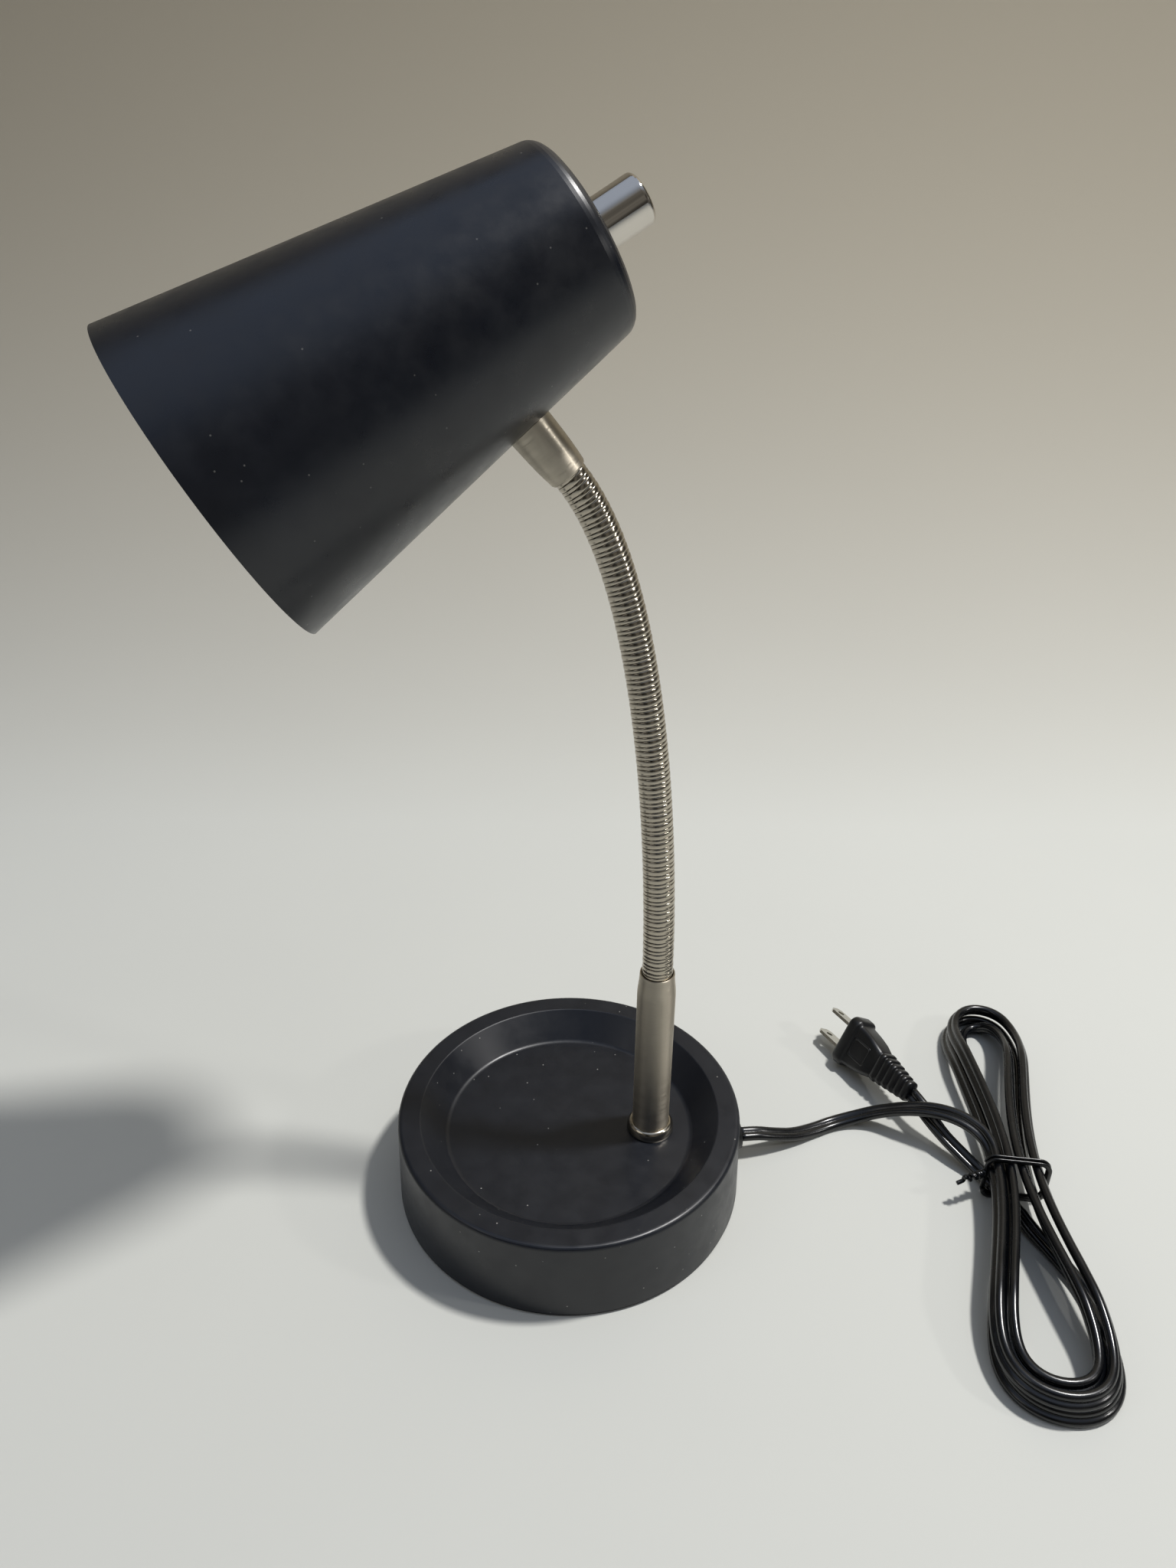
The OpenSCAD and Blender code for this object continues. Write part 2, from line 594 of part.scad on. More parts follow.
module head_sleeve() {
    end_r = mouth_r + mouth_wall;
    root = sleeve_seat - 2;
    tail_from = sleeve_seat - shade_wall - tail_len;
    color("#b4b1aa") difference() {
        sleeve_frame() difference() {
            union() {
                translate([0, 0, root]) rotate_extrude($fn = round_fn) polygon(concat([[0, 0]],
                    [for (i = [0:6]) let (t = i / 6) [sleeve_r - (sleeve_r - end_r)
                        * (0.35 * t + 0.65 * pow(t, 3)), t * (neck_end - root - 0.6)]],
                    [[end_r - 0.3, neck_end - root], [0, neck_end - root]]));
            }
            translate([0, 0, neck_end - neck_held - 1])
                cylinder(r = mouth_r, h = neck_held + 2, $fn = round_fn);
            translate([0, 0, root - 1]) cylinder(r = tail_bore, h = sleeve_len + 2, $fn = small_fn);
        }
        head_frame() shade_cone(0.05);
    }
    color("#b4b1aa") sleeve_frame() translate([0, 0, tail_from])
        ring_solid(tail_r, tail_bore, tail_len + shade_wall + 1.5);
}

module sleeve_washer() {
    color("#8f9092") sleeve_frame() translate([0, 0, sleeve_seat - shade_wall - 2.1])
        ring_solid(8.5, tail_r + hole_fit, 1.2);
}

module sleeve_nut() {
    color("#8f9092") sleeve_frame() translate([0, 0, sleeve_seat - shade_wall - 6.1])
        hex_nut(14, tail_r, 4);
}

module shade() {
    slope = [cos(taper_a), sin(taper_a)];
    edge_z = shade_len - shade_edge_r;
    edge_c = [shade_d / 2 - edge_z * taper - shade_edge_r / cos(taper_a), edge_z];
    color("#1b1c1f") head_frame() difference() {
        rotate_extrude($fn = round_fn) polygon(concat([[shade_d / 2, 0]],
            arc(edge_c, shade_edge_r, taper_a, 90), [[0, shade_len], [0, back_in]],
            arc(edge_c, shade_edge_r - shade_wall, 90, taper_a),
            [[shade_d / 2 - shade_wall / cos(taper_a), 0]]));
        translate([0, 0, back_in - 1]) cylinder(r = bush_r + hole_fit, h = 4, $fn = small_fn);
        translate([0, 0, sleeve_at]) rotate([0, 90 - taper_a, sleeve_turn])
            translate([0, 0, sleeve_seat - 4])
            cylinder(r = tail_r + hole_fit, h = 8, $fn = small_fn);
    }
}

module switch_housing() {
    r = switch_d / 2;
    color("#141415") head_frame() difference() {
        translate([0, 0, switch_face]) rotate_extrude($fn = round_fn)
            polygon([[0, 0], [r, 0], [r, switch_len - 2], [r - 2, switch_len], [0, switch_len]]);
        translate([0, 0, back_in - bush_sink]) cylinder(r = bush_r, h = bush_sink + 1, $fn = small_fn);
        translate([0, 0, back_in - shaft_sink - 0.5])
            cylinder(r = shaft_r + run_fit, h = shaft_sink + 1, $fn = small_fn);
        for (side = [-1, 1]) translate([0, side * (r - 3), switch_face + 8]) rotate([-90 * side, 0, 0])
            cylinder(r = 2, h = 6, $fn = small_fn);
    }
}

module switch_bush() {
    color("#b09a5a") head_frame() translate([0, 0, back_in - bush_sink])
        ring_solid(bush_r, shaft_r + run_fit, bush_sink + shade_wall + bush_out);
}

module bush_nut() {
    color("#9a9b9c") head_frame() translate([0, 0, shade_len]) hex_nut(bush_nut_d / nut_w, bush_r,
        bush_nut_h);
}

module lampholder() {
    r = holder_d / 2;
    color("#141415") head_frame() difference() {
        translate([0, 0, holder_mouth]) rotate_extrude($fn = round_fn)
            polygon([[0, 0], [r - 1, 0], [r, 1], [r, 7], [r - 1.5, 9], [r - 2, holder_len - 2],
                [r - 4, holder_len], [0, holder_len]]);
        translate([0, 0, holder_mouth - 1])
            cylinder(r = shell_r, h = holder_len - holder_floor + 1, $fn = round_fn);
        translate([0, 0, shell_back - 1])
            cylinder(r = contact_well_r, h = contact_well + 1, $fn = small_fn);
        translate([0, 0, holder_mouth]) cylinder(r = 2, h = holder_len + 1, $fn = small_fn);
    }
}

module screw_shell() {
    color("#b9b7ae") head_frame() translate([0, 0, shell_back - shell_len]) {
        ring_solid(shell_r, shell_bore / 2, shell_len, round_fn);
        translate([0, 0, shell_len - shell_wall]) ring_solid(shell_r, 9, shell_wall);
    }
}

module centre_contact() {
    leaf_t = 1.2;
    color("#c2a455") head_frame() translate([0, 0, shell_back + contact_well]) {
        translate([0, 0, -leaf_t]) cylinder(r = 4.5, h = leaf_t, $fn = small_fn);
        translate([0, 0, -contact_well - shell_wall / 2])
            cylinder(r1 = 2.2, r2 = 3.6, h = contact_well + shell_wall / 2 - leaf_t, $fn = small_fn);
        cylinder(r = 2, h = holder_floor - contact_well, $fn = small_fn);
    }
}

module terminal_screws() {
    color("#c2a455") head_frame() for (side = [-1, 1])
        translate([0, side * (switch_d / 2 - 3), switch_face + 8]) rotate([-90 * side, 0, 0]) {
            cylinder(r = 2, h = 3, $fn = small_fn);
            translate([0, 0, 3]) cylinder(r = 3.4, h = 1.8, $fn = small_fn);
        }
}

module head_leads() {
    inside = sleeve_seat - tail_len;
    gap_r = holder_d / 2 + 5;
    for (side = [-1, 1]) {
        off = side * (lead_d / 2 + 0.1);
        end_a = side * 62;
        color("#c9c7c0") head_frame() rotate([0, 0, sleeve_turn]) swept([
            [(neck_end - neck_held - neck_split) * cos(taper_a), off,
                sleeve_at + (neck_end - neck_held - neck_split) * sin(taper_a)],
            [(inside + 6) * cos(taper_a), off, sleeve_at + (inside + 6) * sin(taper_a)],
            [gap_r + 3.5, off * 1.3, sleeve_at + inside * sin(taper_a) + 0.6],
            [gap_r, side * 4, sleeve_at + 12], [gap_r - 2, side * 8, sleeve_at + 20],
            [gap_r * cos(end_a * 0.6) * 0.9, gap_r * sin(end_a * 0.6) * 0.9, switch_face + 4],
            [(switch_d / 2 + 3) * cos(end_a), (switch_d / 2 + 3) * sin(end_a), switch_face + 8],
            [6, side * (switch_d / 2 + 3.2), switch_face + 8]],
            round_section(lead_d / 2, 6), ref = [0.2, 0.3, 1],
            start_dir = -[cos(taper_a), 0, sin(taper_a)]);
    }
}

module switch_shaft() {
    top = knob_len - 4;
    color("#c4c3c0") head_frame() difference() {
        translate([0, 0, back_in - shaft_sink])
            cylinder(r = shaft_r, h = shaft_sink + shade_wall + top, $fn = small_fn);
        translate([shaft_r - 0.8, -shaft_r, knob_from + knob_skirt]) cube([shaft_d, shaft_d, knob_len]);
    }
}

module knob() {
    r = knob_d / 2;
    color("#d4d4d2") head_frame() difference() {
        translate([0, 0, knob_from]) rotate_extrude($fn = round_fn)
            polygon(concat([[0, 0], [r - 0.6, 0], [r, 0.6]],
                arc([r - knob_round, knob_len - knob_round], knob_round, 0, 90), [[0, knob_len]]));
        translate([0, 0, knob_from - 1])
            cylinder(r = bush_nut_d / 2 + 0.6, h = knob_skirt + 1, $fn = round_fn);
        intersection() {
            translate([0, 0, knob_from])
                cylinder(r = shaft_r + run_fit, h = knob_len - 3, $fn = small_fn);
            translate([-shaft_d, -shaft_d, 0])
                cube([shaft_d + shaft_r - 0.8 + run_fit, shaft_d * 2, shade_len + knob_len]);
        }
    }
}

// Cord
module cord_lead() {
    m = len(lead_points);
    color("#121213") swept(concat(lead_points, [hank_point(0)]), flat_section8(cord_w, cord_t),
        start_dir = exit_dir, end_dir = unit(hank_point(0.004) - hank_point(0)),
        turns = [for (i = [0:m]) hank_roll * smooth((i - m + 7) / 7)]);
}

module cord_hank() {
    points = hank_list(hank_rings);
    fine = run_lengths(hank_list(hank_measure));
    echo(hank_least_gap = hank_gap(hank_measure, hank_measure / 4), hank_length = fine[len(fine) - 1]);
    color("#121213") swept(points, flat_section6(cord_w, cord_t),
        start_dir = unit(hank_point(0.004) - hank_point(0)),
        end_dir = unit(hank_end - hank_point(hank_turns - 0.004)),
        turns = [for (p = points) hank_roll]);
}

module cord_tail() {
    m = len(tail_points) + 1;
    color("#121213") swept(concat([hank_end], tail_points, [plug_end]), flat_section8(cord_w, cord_t),
        start_dir = unit(hank_end - hank_point(hank_turns - 0.004)), end_dir = plug_axis,
        turns = [for (i = [0:m]) hank_roll * (1 - smooth(i / 4)) + plug_turn[0] * smooth((i - m + 3) / 3)]);
}

module tie_outline(grow) {
    left = hank_waist + hank_reach + 1.2 + grow;
    right = hank_waist - hank_step / 2 + hank_reach + 1.2 + grow;
    low = 1.2 - grow;
    high = hank_lift + hank_bed * 2 + hank_layer + 0.6 + grow;
    r = 3;
    hull() for (x = [-left + r, right - r]) for (y = [low + r, high - r])
        translate([x, y]) circle(r = r, $fn = 16);
}

module twist_tie() {
    from = [-hank_waist - hank_reach - 1.8, -tie_w / 2, 13];
    color("#0f0f10") translate([hank_at[0], hank_at[1] - 4, 0]) rotate([0, 0, -hank_tilt]) {
        rotate([90, 0, 0]) linear_extrude(tie_w) difference() {
            tie_outline(1);
            tie_outline(0);
        }
        for (end = [[-11, -7, 1], [-8, 3.5, 2.5]]) hull() {
            translate(from) sphere(r = 1.3, $fn = 8);
            translate(from + end) sphere(r = 0.9, $fn = 8);
        }
    }
}

module plug_frame() {
    translate(plug_at) rotate(plug_turn) children();
}

// One ring round the plug at x: a rounded rectangle of width w and thickness t.
function plug_ring(x, w, t, r) = [for (c = [[1, 1, 0], [-1, 1, 90], [-1, -1, 180], [1, -1, 270]])
    for (a = [0, 45, 90])
    [x, c[0] * (w / 2 - r) + r * cos(c[2] + a), c[1] * (t / 2 - r) + r * sin(c[2] + a)]];

module plug_body() {
    ribs = 7;
    rib_step = relief_len / ribs;
    end_w = cord_w + 1.4;
    end_t = cord_t + 2;
    back = -plug_len - relief_len;
    color("#131314") plug_frame() tube_through(concat(
        [plug_ring(back, end_w - 0.8, end_t - 0.8, 2)],
        [for (i = [0:ribs - 1]) let (x = back + rib_step * i, k = i / (ribs - 1),
            w = end_w + 3.6 * k, t = end_t + 3 * k)
            each [plug_ring(x + 0.4, w, t, 2.4), plug_ring(x + 0.7, w + 1.5, t + 1.5, 3),
                plug_ring(x + rib_step * 0.6, w + 1.5, t + 1.5, 3),
                plug_ring(x + rib_step * 0.7, w, t, 2.4)]],
        [plug_ring(-plug_len, end_w + 5, end_t + 3.6, 3),
            plug_ring(-plug_len * 0.52, plug_w - 4.6, plug_t - 2, 3.2),
            plug_ring(-6.4, plug_w - 3, plug_t - 2, 3.2), plug_ring(-6, plug_w - 1, plug_t - 1, 3.6),
            plug_ring(-5.2, plug_w, plug_t, 4), plug_ring(-1.4, plug_w, plug_t, 4),
            plug_ring(-0.4, plug_w - 1.2, plug_t - 1.2, 3.6), plug_ring(0, plug_w - 2.6, plug_t - 2.6, 3)]));
}

module plug_blades() {
    color("#bcb9b0") plug_frame() for (side = [-1, 1]) {
        w = side > 0 ? 7.9 : 6.35;
        difference() {
            translate([0, side * blade_gap / 2 - 0.75, -w / 2]) cube([blade_len - 2, 1.5, w]);
            translate([blade_len - 5, side * blade_gap / 2 - 2, 0]) rotate([-90, 0, 0])
                cylinder(r = 1.6, h = 4, $fn = small_fn);
        }
        translate([blade_len - 2, side * blade_gap / 2, 0]) rotate([90, 0, 0]) linear_extrude(1.5,
            center = true) polygon([[0, -w / 2], [2, -w / 2 + 1.6], [2, w / 2 - 1.6], [0, w / 2]]);
    }
}

base_shell();
foot_pad();
bottom_plate();
plate_screws();
base_weight();
cord_bushing();
cord_inner();
wire_caps();
post_tube();
post_flange();
post_plug();
post_nipple();
post_washer();
post_nut();
post_leads();
neck_lower();
neck_middle();
neck_upper();
head_sleeve();
sleeve_washer();
sleeve_nut();
shade();
switch_housing();
switch_bush();
bush_nut();
lampholder();
screw_shell();
centre_contact();
terminal_screws();
head_leads();
switch_shaft();
knob();
cord_lead();
cord_hank();
cord_tail();
twist_tie();
plug_body();
plug_blades();
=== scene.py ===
"""Gooseneck desk lamp: the looks of every piece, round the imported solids. Lengths are in metres."""

import math

import bpy
from mathutils import Matrix, Vector


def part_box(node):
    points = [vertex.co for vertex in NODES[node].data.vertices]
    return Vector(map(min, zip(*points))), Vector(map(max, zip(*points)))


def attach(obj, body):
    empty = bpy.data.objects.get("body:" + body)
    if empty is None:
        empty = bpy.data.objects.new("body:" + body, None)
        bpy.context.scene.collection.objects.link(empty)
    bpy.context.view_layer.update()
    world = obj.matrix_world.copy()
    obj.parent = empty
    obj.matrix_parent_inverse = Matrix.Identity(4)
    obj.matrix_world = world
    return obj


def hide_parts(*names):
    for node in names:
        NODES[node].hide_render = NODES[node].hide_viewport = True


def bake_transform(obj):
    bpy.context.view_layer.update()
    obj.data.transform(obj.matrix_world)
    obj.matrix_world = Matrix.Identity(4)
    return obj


bl_info = {
    "name": "Gooseneck Desk Lamp",
    "version": (1, 0, 0),
    "blender": (4, 5, 0),
    "location": "View3D > Sidebar > Desk Lamp",
    "description": (
        "Dresses a bendable desk lamp: wound neck, cone shade, tray base, tied cord and plug"),
    "category": "Add Mesh",
}

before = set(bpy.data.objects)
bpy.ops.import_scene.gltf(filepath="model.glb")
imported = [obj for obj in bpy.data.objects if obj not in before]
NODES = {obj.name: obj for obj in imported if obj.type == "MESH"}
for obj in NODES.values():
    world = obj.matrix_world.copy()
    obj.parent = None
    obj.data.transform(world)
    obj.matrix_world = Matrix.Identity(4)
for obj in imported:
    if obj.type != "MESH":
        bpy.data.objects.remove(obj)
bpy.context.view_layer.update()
MM = 0.001
UP = Vector((0, 0, 1))

# Camera of the photograph: 1536 by 2048 pixels, level sideways, looking along +Y and down.
CAMERA_AT = Vector((0.00681, -0.38033, 0.42072))
CAMERA_DOWN = math.radians(29.76)
CAMERA_ROLL = math.radians(0.577)
CAMERA_LENS = 27.05

# Head: the centre of the shade's mouth, the lift and the turn of its axis, and its sleeve.
HEAD_AT = Vector((-117, 0.5, 313.5)) * MM
HEAD_LIFT = math.radians(29.4)
HEAD_TURN = math.radians(18.5)
SHADE_R = 57.5 * MM
SHADE_BACK_R = 32.5 * MM
SHADE_LEN = 147 * MM
SHADE_WALL = 0.8 * MM
SHADE_EDGE_R = 6 * MM
SLEEVE_AT = 92 * MM
SLEEVE_TURN = math.radians(-9.2)
SLEEVE_LEN = 21 * MM

# Lining: its coat over the shade's wall, its start above the mouth and the hole in its back.
LINING_COAT = 0.12 * MM
LINING_START = 0.2 * MM
LINING_HOLE_R = 18 * MM

# Post and tray
POST_R = 8 * MM
RING_GAP = 0.05 * MM
RING_FOOT = 1.1 * MM
TRAY_DEPTH = 11 * MM
TRAY_SLOPE_W = 10.5 * MM
TRAY_FLOOR_Z = 28 * MM
TRAY_FLOOR_R = 54.2 * MM
FOLD_R = 3 * MM
FOLD_LIFT = 0.02 * MM

# Neck: how far its curve is pulled out of the post and out of the sleeve.
NECK_PULL_LOW = 63 * MM
NECK_PULL_HIGH = 48.5 * MM
NECK_R = 6.35 * MM
NECK_SAMPLES = 240
WINDING_STEPS = 40
# The bands' profiles: share of the band's width, and how far below the neck's outside, in mm.
BROAD_BAND = (
    (0, 0.6), (0.02, 0.25), (0.05, 0.16), (0.13, 0.085), (0.27, 0.03), (0.5, 0),
    (0.73, 0.03), (0.87, 0.085), (0.95, 0.16), (0.98, 0.25))
NARROW_BAND = (
    (0, 0.6), (0.035, 0.24), (0.09, 0.16), (0.25, 0.11), (0.5, 0.09), (0.75, 0.11),
    (0.91, 0.16), (0.965, 0.24), (1, 0.6))
# Turns wound on past the mouths.
WINDING_OVER = 2

# Cord: the points of its free stretches, as the solids have them.
CORD_EXIT_TURN = math.radians(8)
CORD_EXIT_R = 79 * MM
CORD_EXIT_Z = 12 * MM
LEAD_POINTS = [Vector(p) * MM for p in (
    (87, 12.5, 11.2), (96, 15, 8), (105, 18.5, 4.6), (115, 23.5, 2.4), (125, 28, 2.2),
    (135.5, 30, 4.2), (147, 29, 9.2), (158.6, 24.6, 15.5), (168.8, 20, 19.2), (178.8, 14.2, 20.4),
    (185.9, 7.5, 19.6), (188.9, 1, 18.4))]
TAIL_POINTS = [Vector(p) * MM for p in (
    (212.6, -79.5, 3.4), (213.4, -70.5, 2.9), (212, -61.5, 2.5), (208.8, -52.5, 2.4),
    (204.8, -43.5, 2.8), (200.6, -34.5, 3.2), (197.4, -25.5, 3.4), (194, -16.5, 3.4),
    (190, -8, 3.4), (185.2, -0.5, 4), (179.4, 6.5, 6.4), (174, 13.5, 8.8),
    (169.6, 20.5, 11.4), (165.8, 27.4, 13.8))]
# Tied hank: its middle and tilt, the shape of its loops, its two layers and the cord's roll.
HANK_AT = Vector((199.5, -7, 0)) * MM
HANK_TILT = math.radians(7)
HANK_TURNS = 3.375
HANK_STEP = 5.3 * MM
HANK_HALF = 112 * MM
HANK_WAIST = 10.4 * MM
HANK_LOBE_NEAR = 42 * MM
HANK_LOBE_FAR = 34 * MM
HANK_POWER = 2
HANK_TUCK = 1.6 * MM
HANK_TUCK_FROM, HANK_TUCK_OVER = 0.12, 0.2
HANK_DROP = 0.2
HANK_LIFT = 6 * MM
HANK_LIFT_HALF = 62 * MM
HANK_LIFT_END = 98 * MM
HANK_FLARE = 1.8 * MM
HANK_FLAT_END = 0.15
HANK_ROLL = math.radians(62)
HANK_POINTS = 48
CORE_SHIFT = 1.8 * MM
CORE_R = 1.9 * MM
HANK_BED = CORE_SHIFT * math.sin(HANK_ROLL) + CORE_R
HANK_REACH = CORE_SHIFT * math.cos(HANK_ROLL) + CORE_R
HANK_LAYER = HANK_BED * 2 + 0.9 * MM
CORD_SPACING = 2.2 * MM
# The cord's section: half a core's arc and its step in degrees, and the web's share of a core.
CORE_HALF_ARC = 144
CORE_STEP = 24
WEB_SHARE = 0.48
# Points over which the cord rolls onto its edge, back onto its flat and round into the plug.
ROLL_IN = 7
ROLL_OUT = 4
ROLL_PLUG = 3

# Tie: its width and place before the hank's middle, its room round the hank, and its corners.
TIE_WIDE = 4 * MM
TIE_BEFORE = 4 * MM
TIE_CORNER_R = 4 * MM
TIE_CORNER_STEPS = 6
TIE_LEFT_GAP = 1.6 * MM
TIE_GAP = 1.1 * MM
TIE_BOTTOM = 0.8 * MM
TIE_WIRE_STEP = 2.1 * MM
TIE_SECTION = (1.15 * MM, 0.62 * MM)
TIE_SPACING = 1.2 * MM
# Its ends: where they start and go, their radius and turns, their twisted share and their flare.
TIE_TWIST_OUT = 0.2 * MM
TIE_TWIST_Z = 13 * MM
TIE_TAIL = Vector((-12.5, -7, 0.5)) * MM
TIE_END_R = 0.95 * MM
TIE_END_STEPS = 40
TIE_END_TURNS = 3.2
TIE_END_TWISTED = 0.78
TIE_END_FLARE = 7 * MM

# Plug: the centre of its front face and its roll, nose-down tilt and turn.
PLUG_AT = Vector((141, 76, 12.6)) * MM
PLUG_TURN = tuple(math.radians(a) for a in (-60, 3, 117.5))
PLUG_W = 26 * MM
PLUG_T = 14.6 * MM
PLUG_LEN = 24 * MM
RELIEF_LEN = 22 * MM
# The relief's end towards the cord: place, how much narrower, and corner, in mm.
RELIEF_END = ((0, 1.6, 1.6), (0.15, 0.6, 2))
# One rib of the strain relief: share of its length, and how much wider, in mm.
RELIEF_RIB = ((0.1, 0), (0.14, 1.0), (0.2, 1.4), (0.5, 1.5), (0.8, 1.4), (0.86, 1.0), (0.9, 0))
RELIEF_CORNER_R = 2.6 * MM
# The relief against the cord, and how much wider and thicker it grows towards the plug.
RELIEF_OVER_W, RELIEF_OVER_T = 1.4 * MM, 2 * MM
RELIEF_GROWS_W, RELIEF_GROWS_T = 5 * MM, 3.4 * MM
# The body's first rings: share of the length, how far they exceed the relief's end, and corner.
PLUG_BACK_RINGS = ((-1.0, 5.6, 3.8, 2.2), (-0.96, 6.6, 4.5, 2.4))
# The body's other rings: share of the length, change of width and thickness, and corner, in mm.
PLUG_RINGS = (
    (-0.8, -8.0, -3.0, 2.4), (-0.62, -5.8, -3.5, 2.3), (-0.44, -4.4, -3.7, 2.2),
    (-0.31, -3.7, -3.3, 2.2), (-0.275, -3.3, -2.9, 2.4), (-0.26, -1.6, -1.4, 3.0),
    (-0.24, -0.5, -0.5, 3.6), (-0.21, 0.0, 0.0, 3.9), (-0.07, 0.0, 0.0, 3.9),
    (-0.035, -0.35, -0.35, 3.8), (-0.012, -1.1, -1.1, 3.6), (0.0, -2.6, -2.6, 3.0))
# A grip panel: its place along the body, its corners' centres and radius, and its depth.
GRIP_AT = -0.54
GRIP_CORNER_X, GRIP_CORNER_Y, GRIP_CORNER_R = 4.6 * MM, 3.7 * MM, 1.4 * MM
GRIP_SINK = 1.8 * MM
# Its rings: how far each steps in, and its height, in mm.
GRIP_RINGS = ((0, -0.3), (0, 0.3), (0.5, 0.45), (1.1, 0.1), (1.5, -0.3))

# Corners of a rounded rectangle: the signs of its two axes and where its arc starts, in degrees.
CORNERS = ((1, 1, 0), (-1, 1, 90), (-1, -1, 180), (1, -1, 270))
CORNER_STEPS = 7
GRIP_CORNER_STEPS = 5

# Paper sweep: its front edge, its bend and the bend's radius, its back, top and half width.
SWEEP_FRONT_Y = -2.5
SWEEP_BEND_Y = 0.42
SWEEP_BEND_R = 0.55
SWEEP_BACK_Y = SWEEP_BEND_Y + SWEEP_BEND_R
SWEEP_TOP_Z = 2.2
SWEEP_HALF_WIDE = 3.5
# Where the painted shade on the rising paper begins.
SWEEP_SHADE_FROM_Y = 0.3

# Lamps: name, place, aim, diameter in metres and power in watts.
LAMPS = (
    ("key_lamp", (0.87, 0.16, 2.0), (0.02, 0, 0.1), 0.2, 44),
    ("side_lamp", (1.1, -0.3, 0.75), (0, 0, 0.3), 0.09, 1.7),
    ("fill_lamp", (-0.85, -0.5, 0.8), (0, 0, 0.2), 0.6, 0.8))
LAMP_COLOUR = "#fffdfa"

# Room: the bands on its walls, and the heights between which the ceiling's light takes over.
ROOM_BANDS = (2.6, 2.6, 0.7)
ROOM_DARK, ROOM_LIGHT, ROOM_CEILING = "#191715", "#8f8b84", "#d8e6ff"
CEILING_FROM, CEILING_FULL = 0.6, 0.95
ROOM_STRENGTH = 0.68

# Finishes. Brushing draws a highlight out by BRUSH_PULL, a quarter turn from the tangent.
BRUSH_PULL = 0.85
BRUSH_TURN = 0.25
ENAMEL_IOR = 1.5
VINYL_IOR = 1.53
DUST_COLOUR = "#d6d4ce"
DUST_CELL = 6.5 * MM
DUST_FULL, DUST_NONE = 0.03, 0.055
# Sockets of a colour Mix node.
MIX_A, MIX_B, MIX_OUT = 6, 7, 2


def linear(text):
    """Linear red, green, blue and alpha from an sRGB hex value."""
    parts = [int(text[i:i + 2], 16) / 255 for i in (1, 3, 5)]
    return tuple(c / 12.92 if c <= 0.04045 else ((c + 0.055) / 1.055) ** 2.4 for c in parts) + (1,)


def smooth(t):
    """Rises from 0 to 1 with level ends as t does."""
    t = min(1, max(0, t))
    return t * t * (3 - 2 * t)


def axes_matrix(x, y, z, at):
    """The matrix of a frame from its axes and its place."""
    return Matrix.Translation(at) @ Matrix((x, y, z)).transposed().to_4x4()


def head_matrix():
    """The head's own frame: z from the shade's mouth to its back, x to the side of the sleeve."""
    level = math.cos(HEAD_LIFT)
    z = Vector((math.cos(HEAD_TURN) * level, math.sin(HEAD_TURN) * level, math.sin(HEAD_LIFT)))
    y = Vector((-math.sin(HEAD_TURN), math.cos(HEAD_TURN), 0))
    return axes_matrix(y.cross(z), y, z, HEAD_AT)


def plug_matrix():
    """The plug's own frame: x out of its front face, y along the line of its blades."""
    roll, tilt, turn = PLUG_TURN
    spin = Matrix.Rotation(turn, 4, "Z") @ Matrix.Rotation(tilt, 4, "Y")
    return Matrix.Translation(PLUG_AT) @ spin @ Matrix.Rotation(roll, 4, "X")


# Colours and sizes that a user may change.
class DeskLampColours(bpy.types.PropertyGroup):
    """Colours of the lamp's finishes"""
    enamel: bpy.props.FloatVectorProperty(
        name="Enamel", description="Black enamel of the base and the shade", subtype="COLOR",
        size=4, min=0, max=1, default=linear("#090e18"))
    lining: bpy.props.FloatVectorProperty(
        name="Lining", description="White enamel inside the shade", subtype="COLOR",
        size=4, min=0, max=1, default=linear("#e4e2da"))
    nickel: bpy.props.FloatVectorProperty(
        name="Nickel", description="Nickel plate of the post, sleeve and gooseneck",
        subtype="COLOR", size=4, min=0, max=1, default=linear("#b9b1a2"))
    chrome: bpy.props.FloatVectorProperty(
        name="Chrome", description="Bright plate of the knob", subtype="COLOR",
        size=4, min=0, max=1, default=linear("#c8c3bb"))
    cord: bpy.props.FloatVectorProperty(
        name="Cord", description="Soft vinyl of the cord and the plug", subtype="COLOR",
        size=4, min=0, max=1, default=linear("#06080c"))


class DeskLampSizes(bpy.types.PropertyGroup):
    """Sizes of the lamp's dressed pieces"""
    pitch: bpy.props.FloatProperty(
        name="Winding pitch", description="Distance from one turn of the gooseneck to the next",
        unit="LENGTH", default=3.75 * MM, min=2 * MM, max=6 * MM, precision=5)
    band: bpy.props.FloatProperty(
        name="Band share", description="Share of the pitch that the broad band takes",
        subtype="FACTOR", default=0.61, min=0.5, max=0.9)
    cord_wide: bpy.props.FloatProperty(
        name="Cord width", description="Width of the flat two-core cord", unit="LENGTH",
        default=7.4 * MM, min=5 * MM, max=9 * MM, precision=5)
    cord_thick: bpy.props.FloatProperty(
        name="Cord thickness", description="Thickness of the flat two-core cord", unit="LENGTH",
        default=3.8 * MM, min=2 * MM, max=4.5 * MM, precision=5)
    relief_ribs: bpy.props.IntProperty(
        name="Relief ribs", description="Ribs of the plug's strain relief", default=6, min=3,
        max=12)


# Materials
def add_node(tree, kind, inputs=None, **settings):
    """A node with its settings; inputs are values or the sockets that they come from."""
    node = tree.nodes.new(kind)
    for name, value in settings.items():
        setattr(node, name, value)
    for name, value in (inputs or {}).items():
        if isinstance(value, bpy.types.NodeSocket):
            tree.links.new(value, node.inputs[name])
        else:
            node.inputs[name].default_value = value
    return node


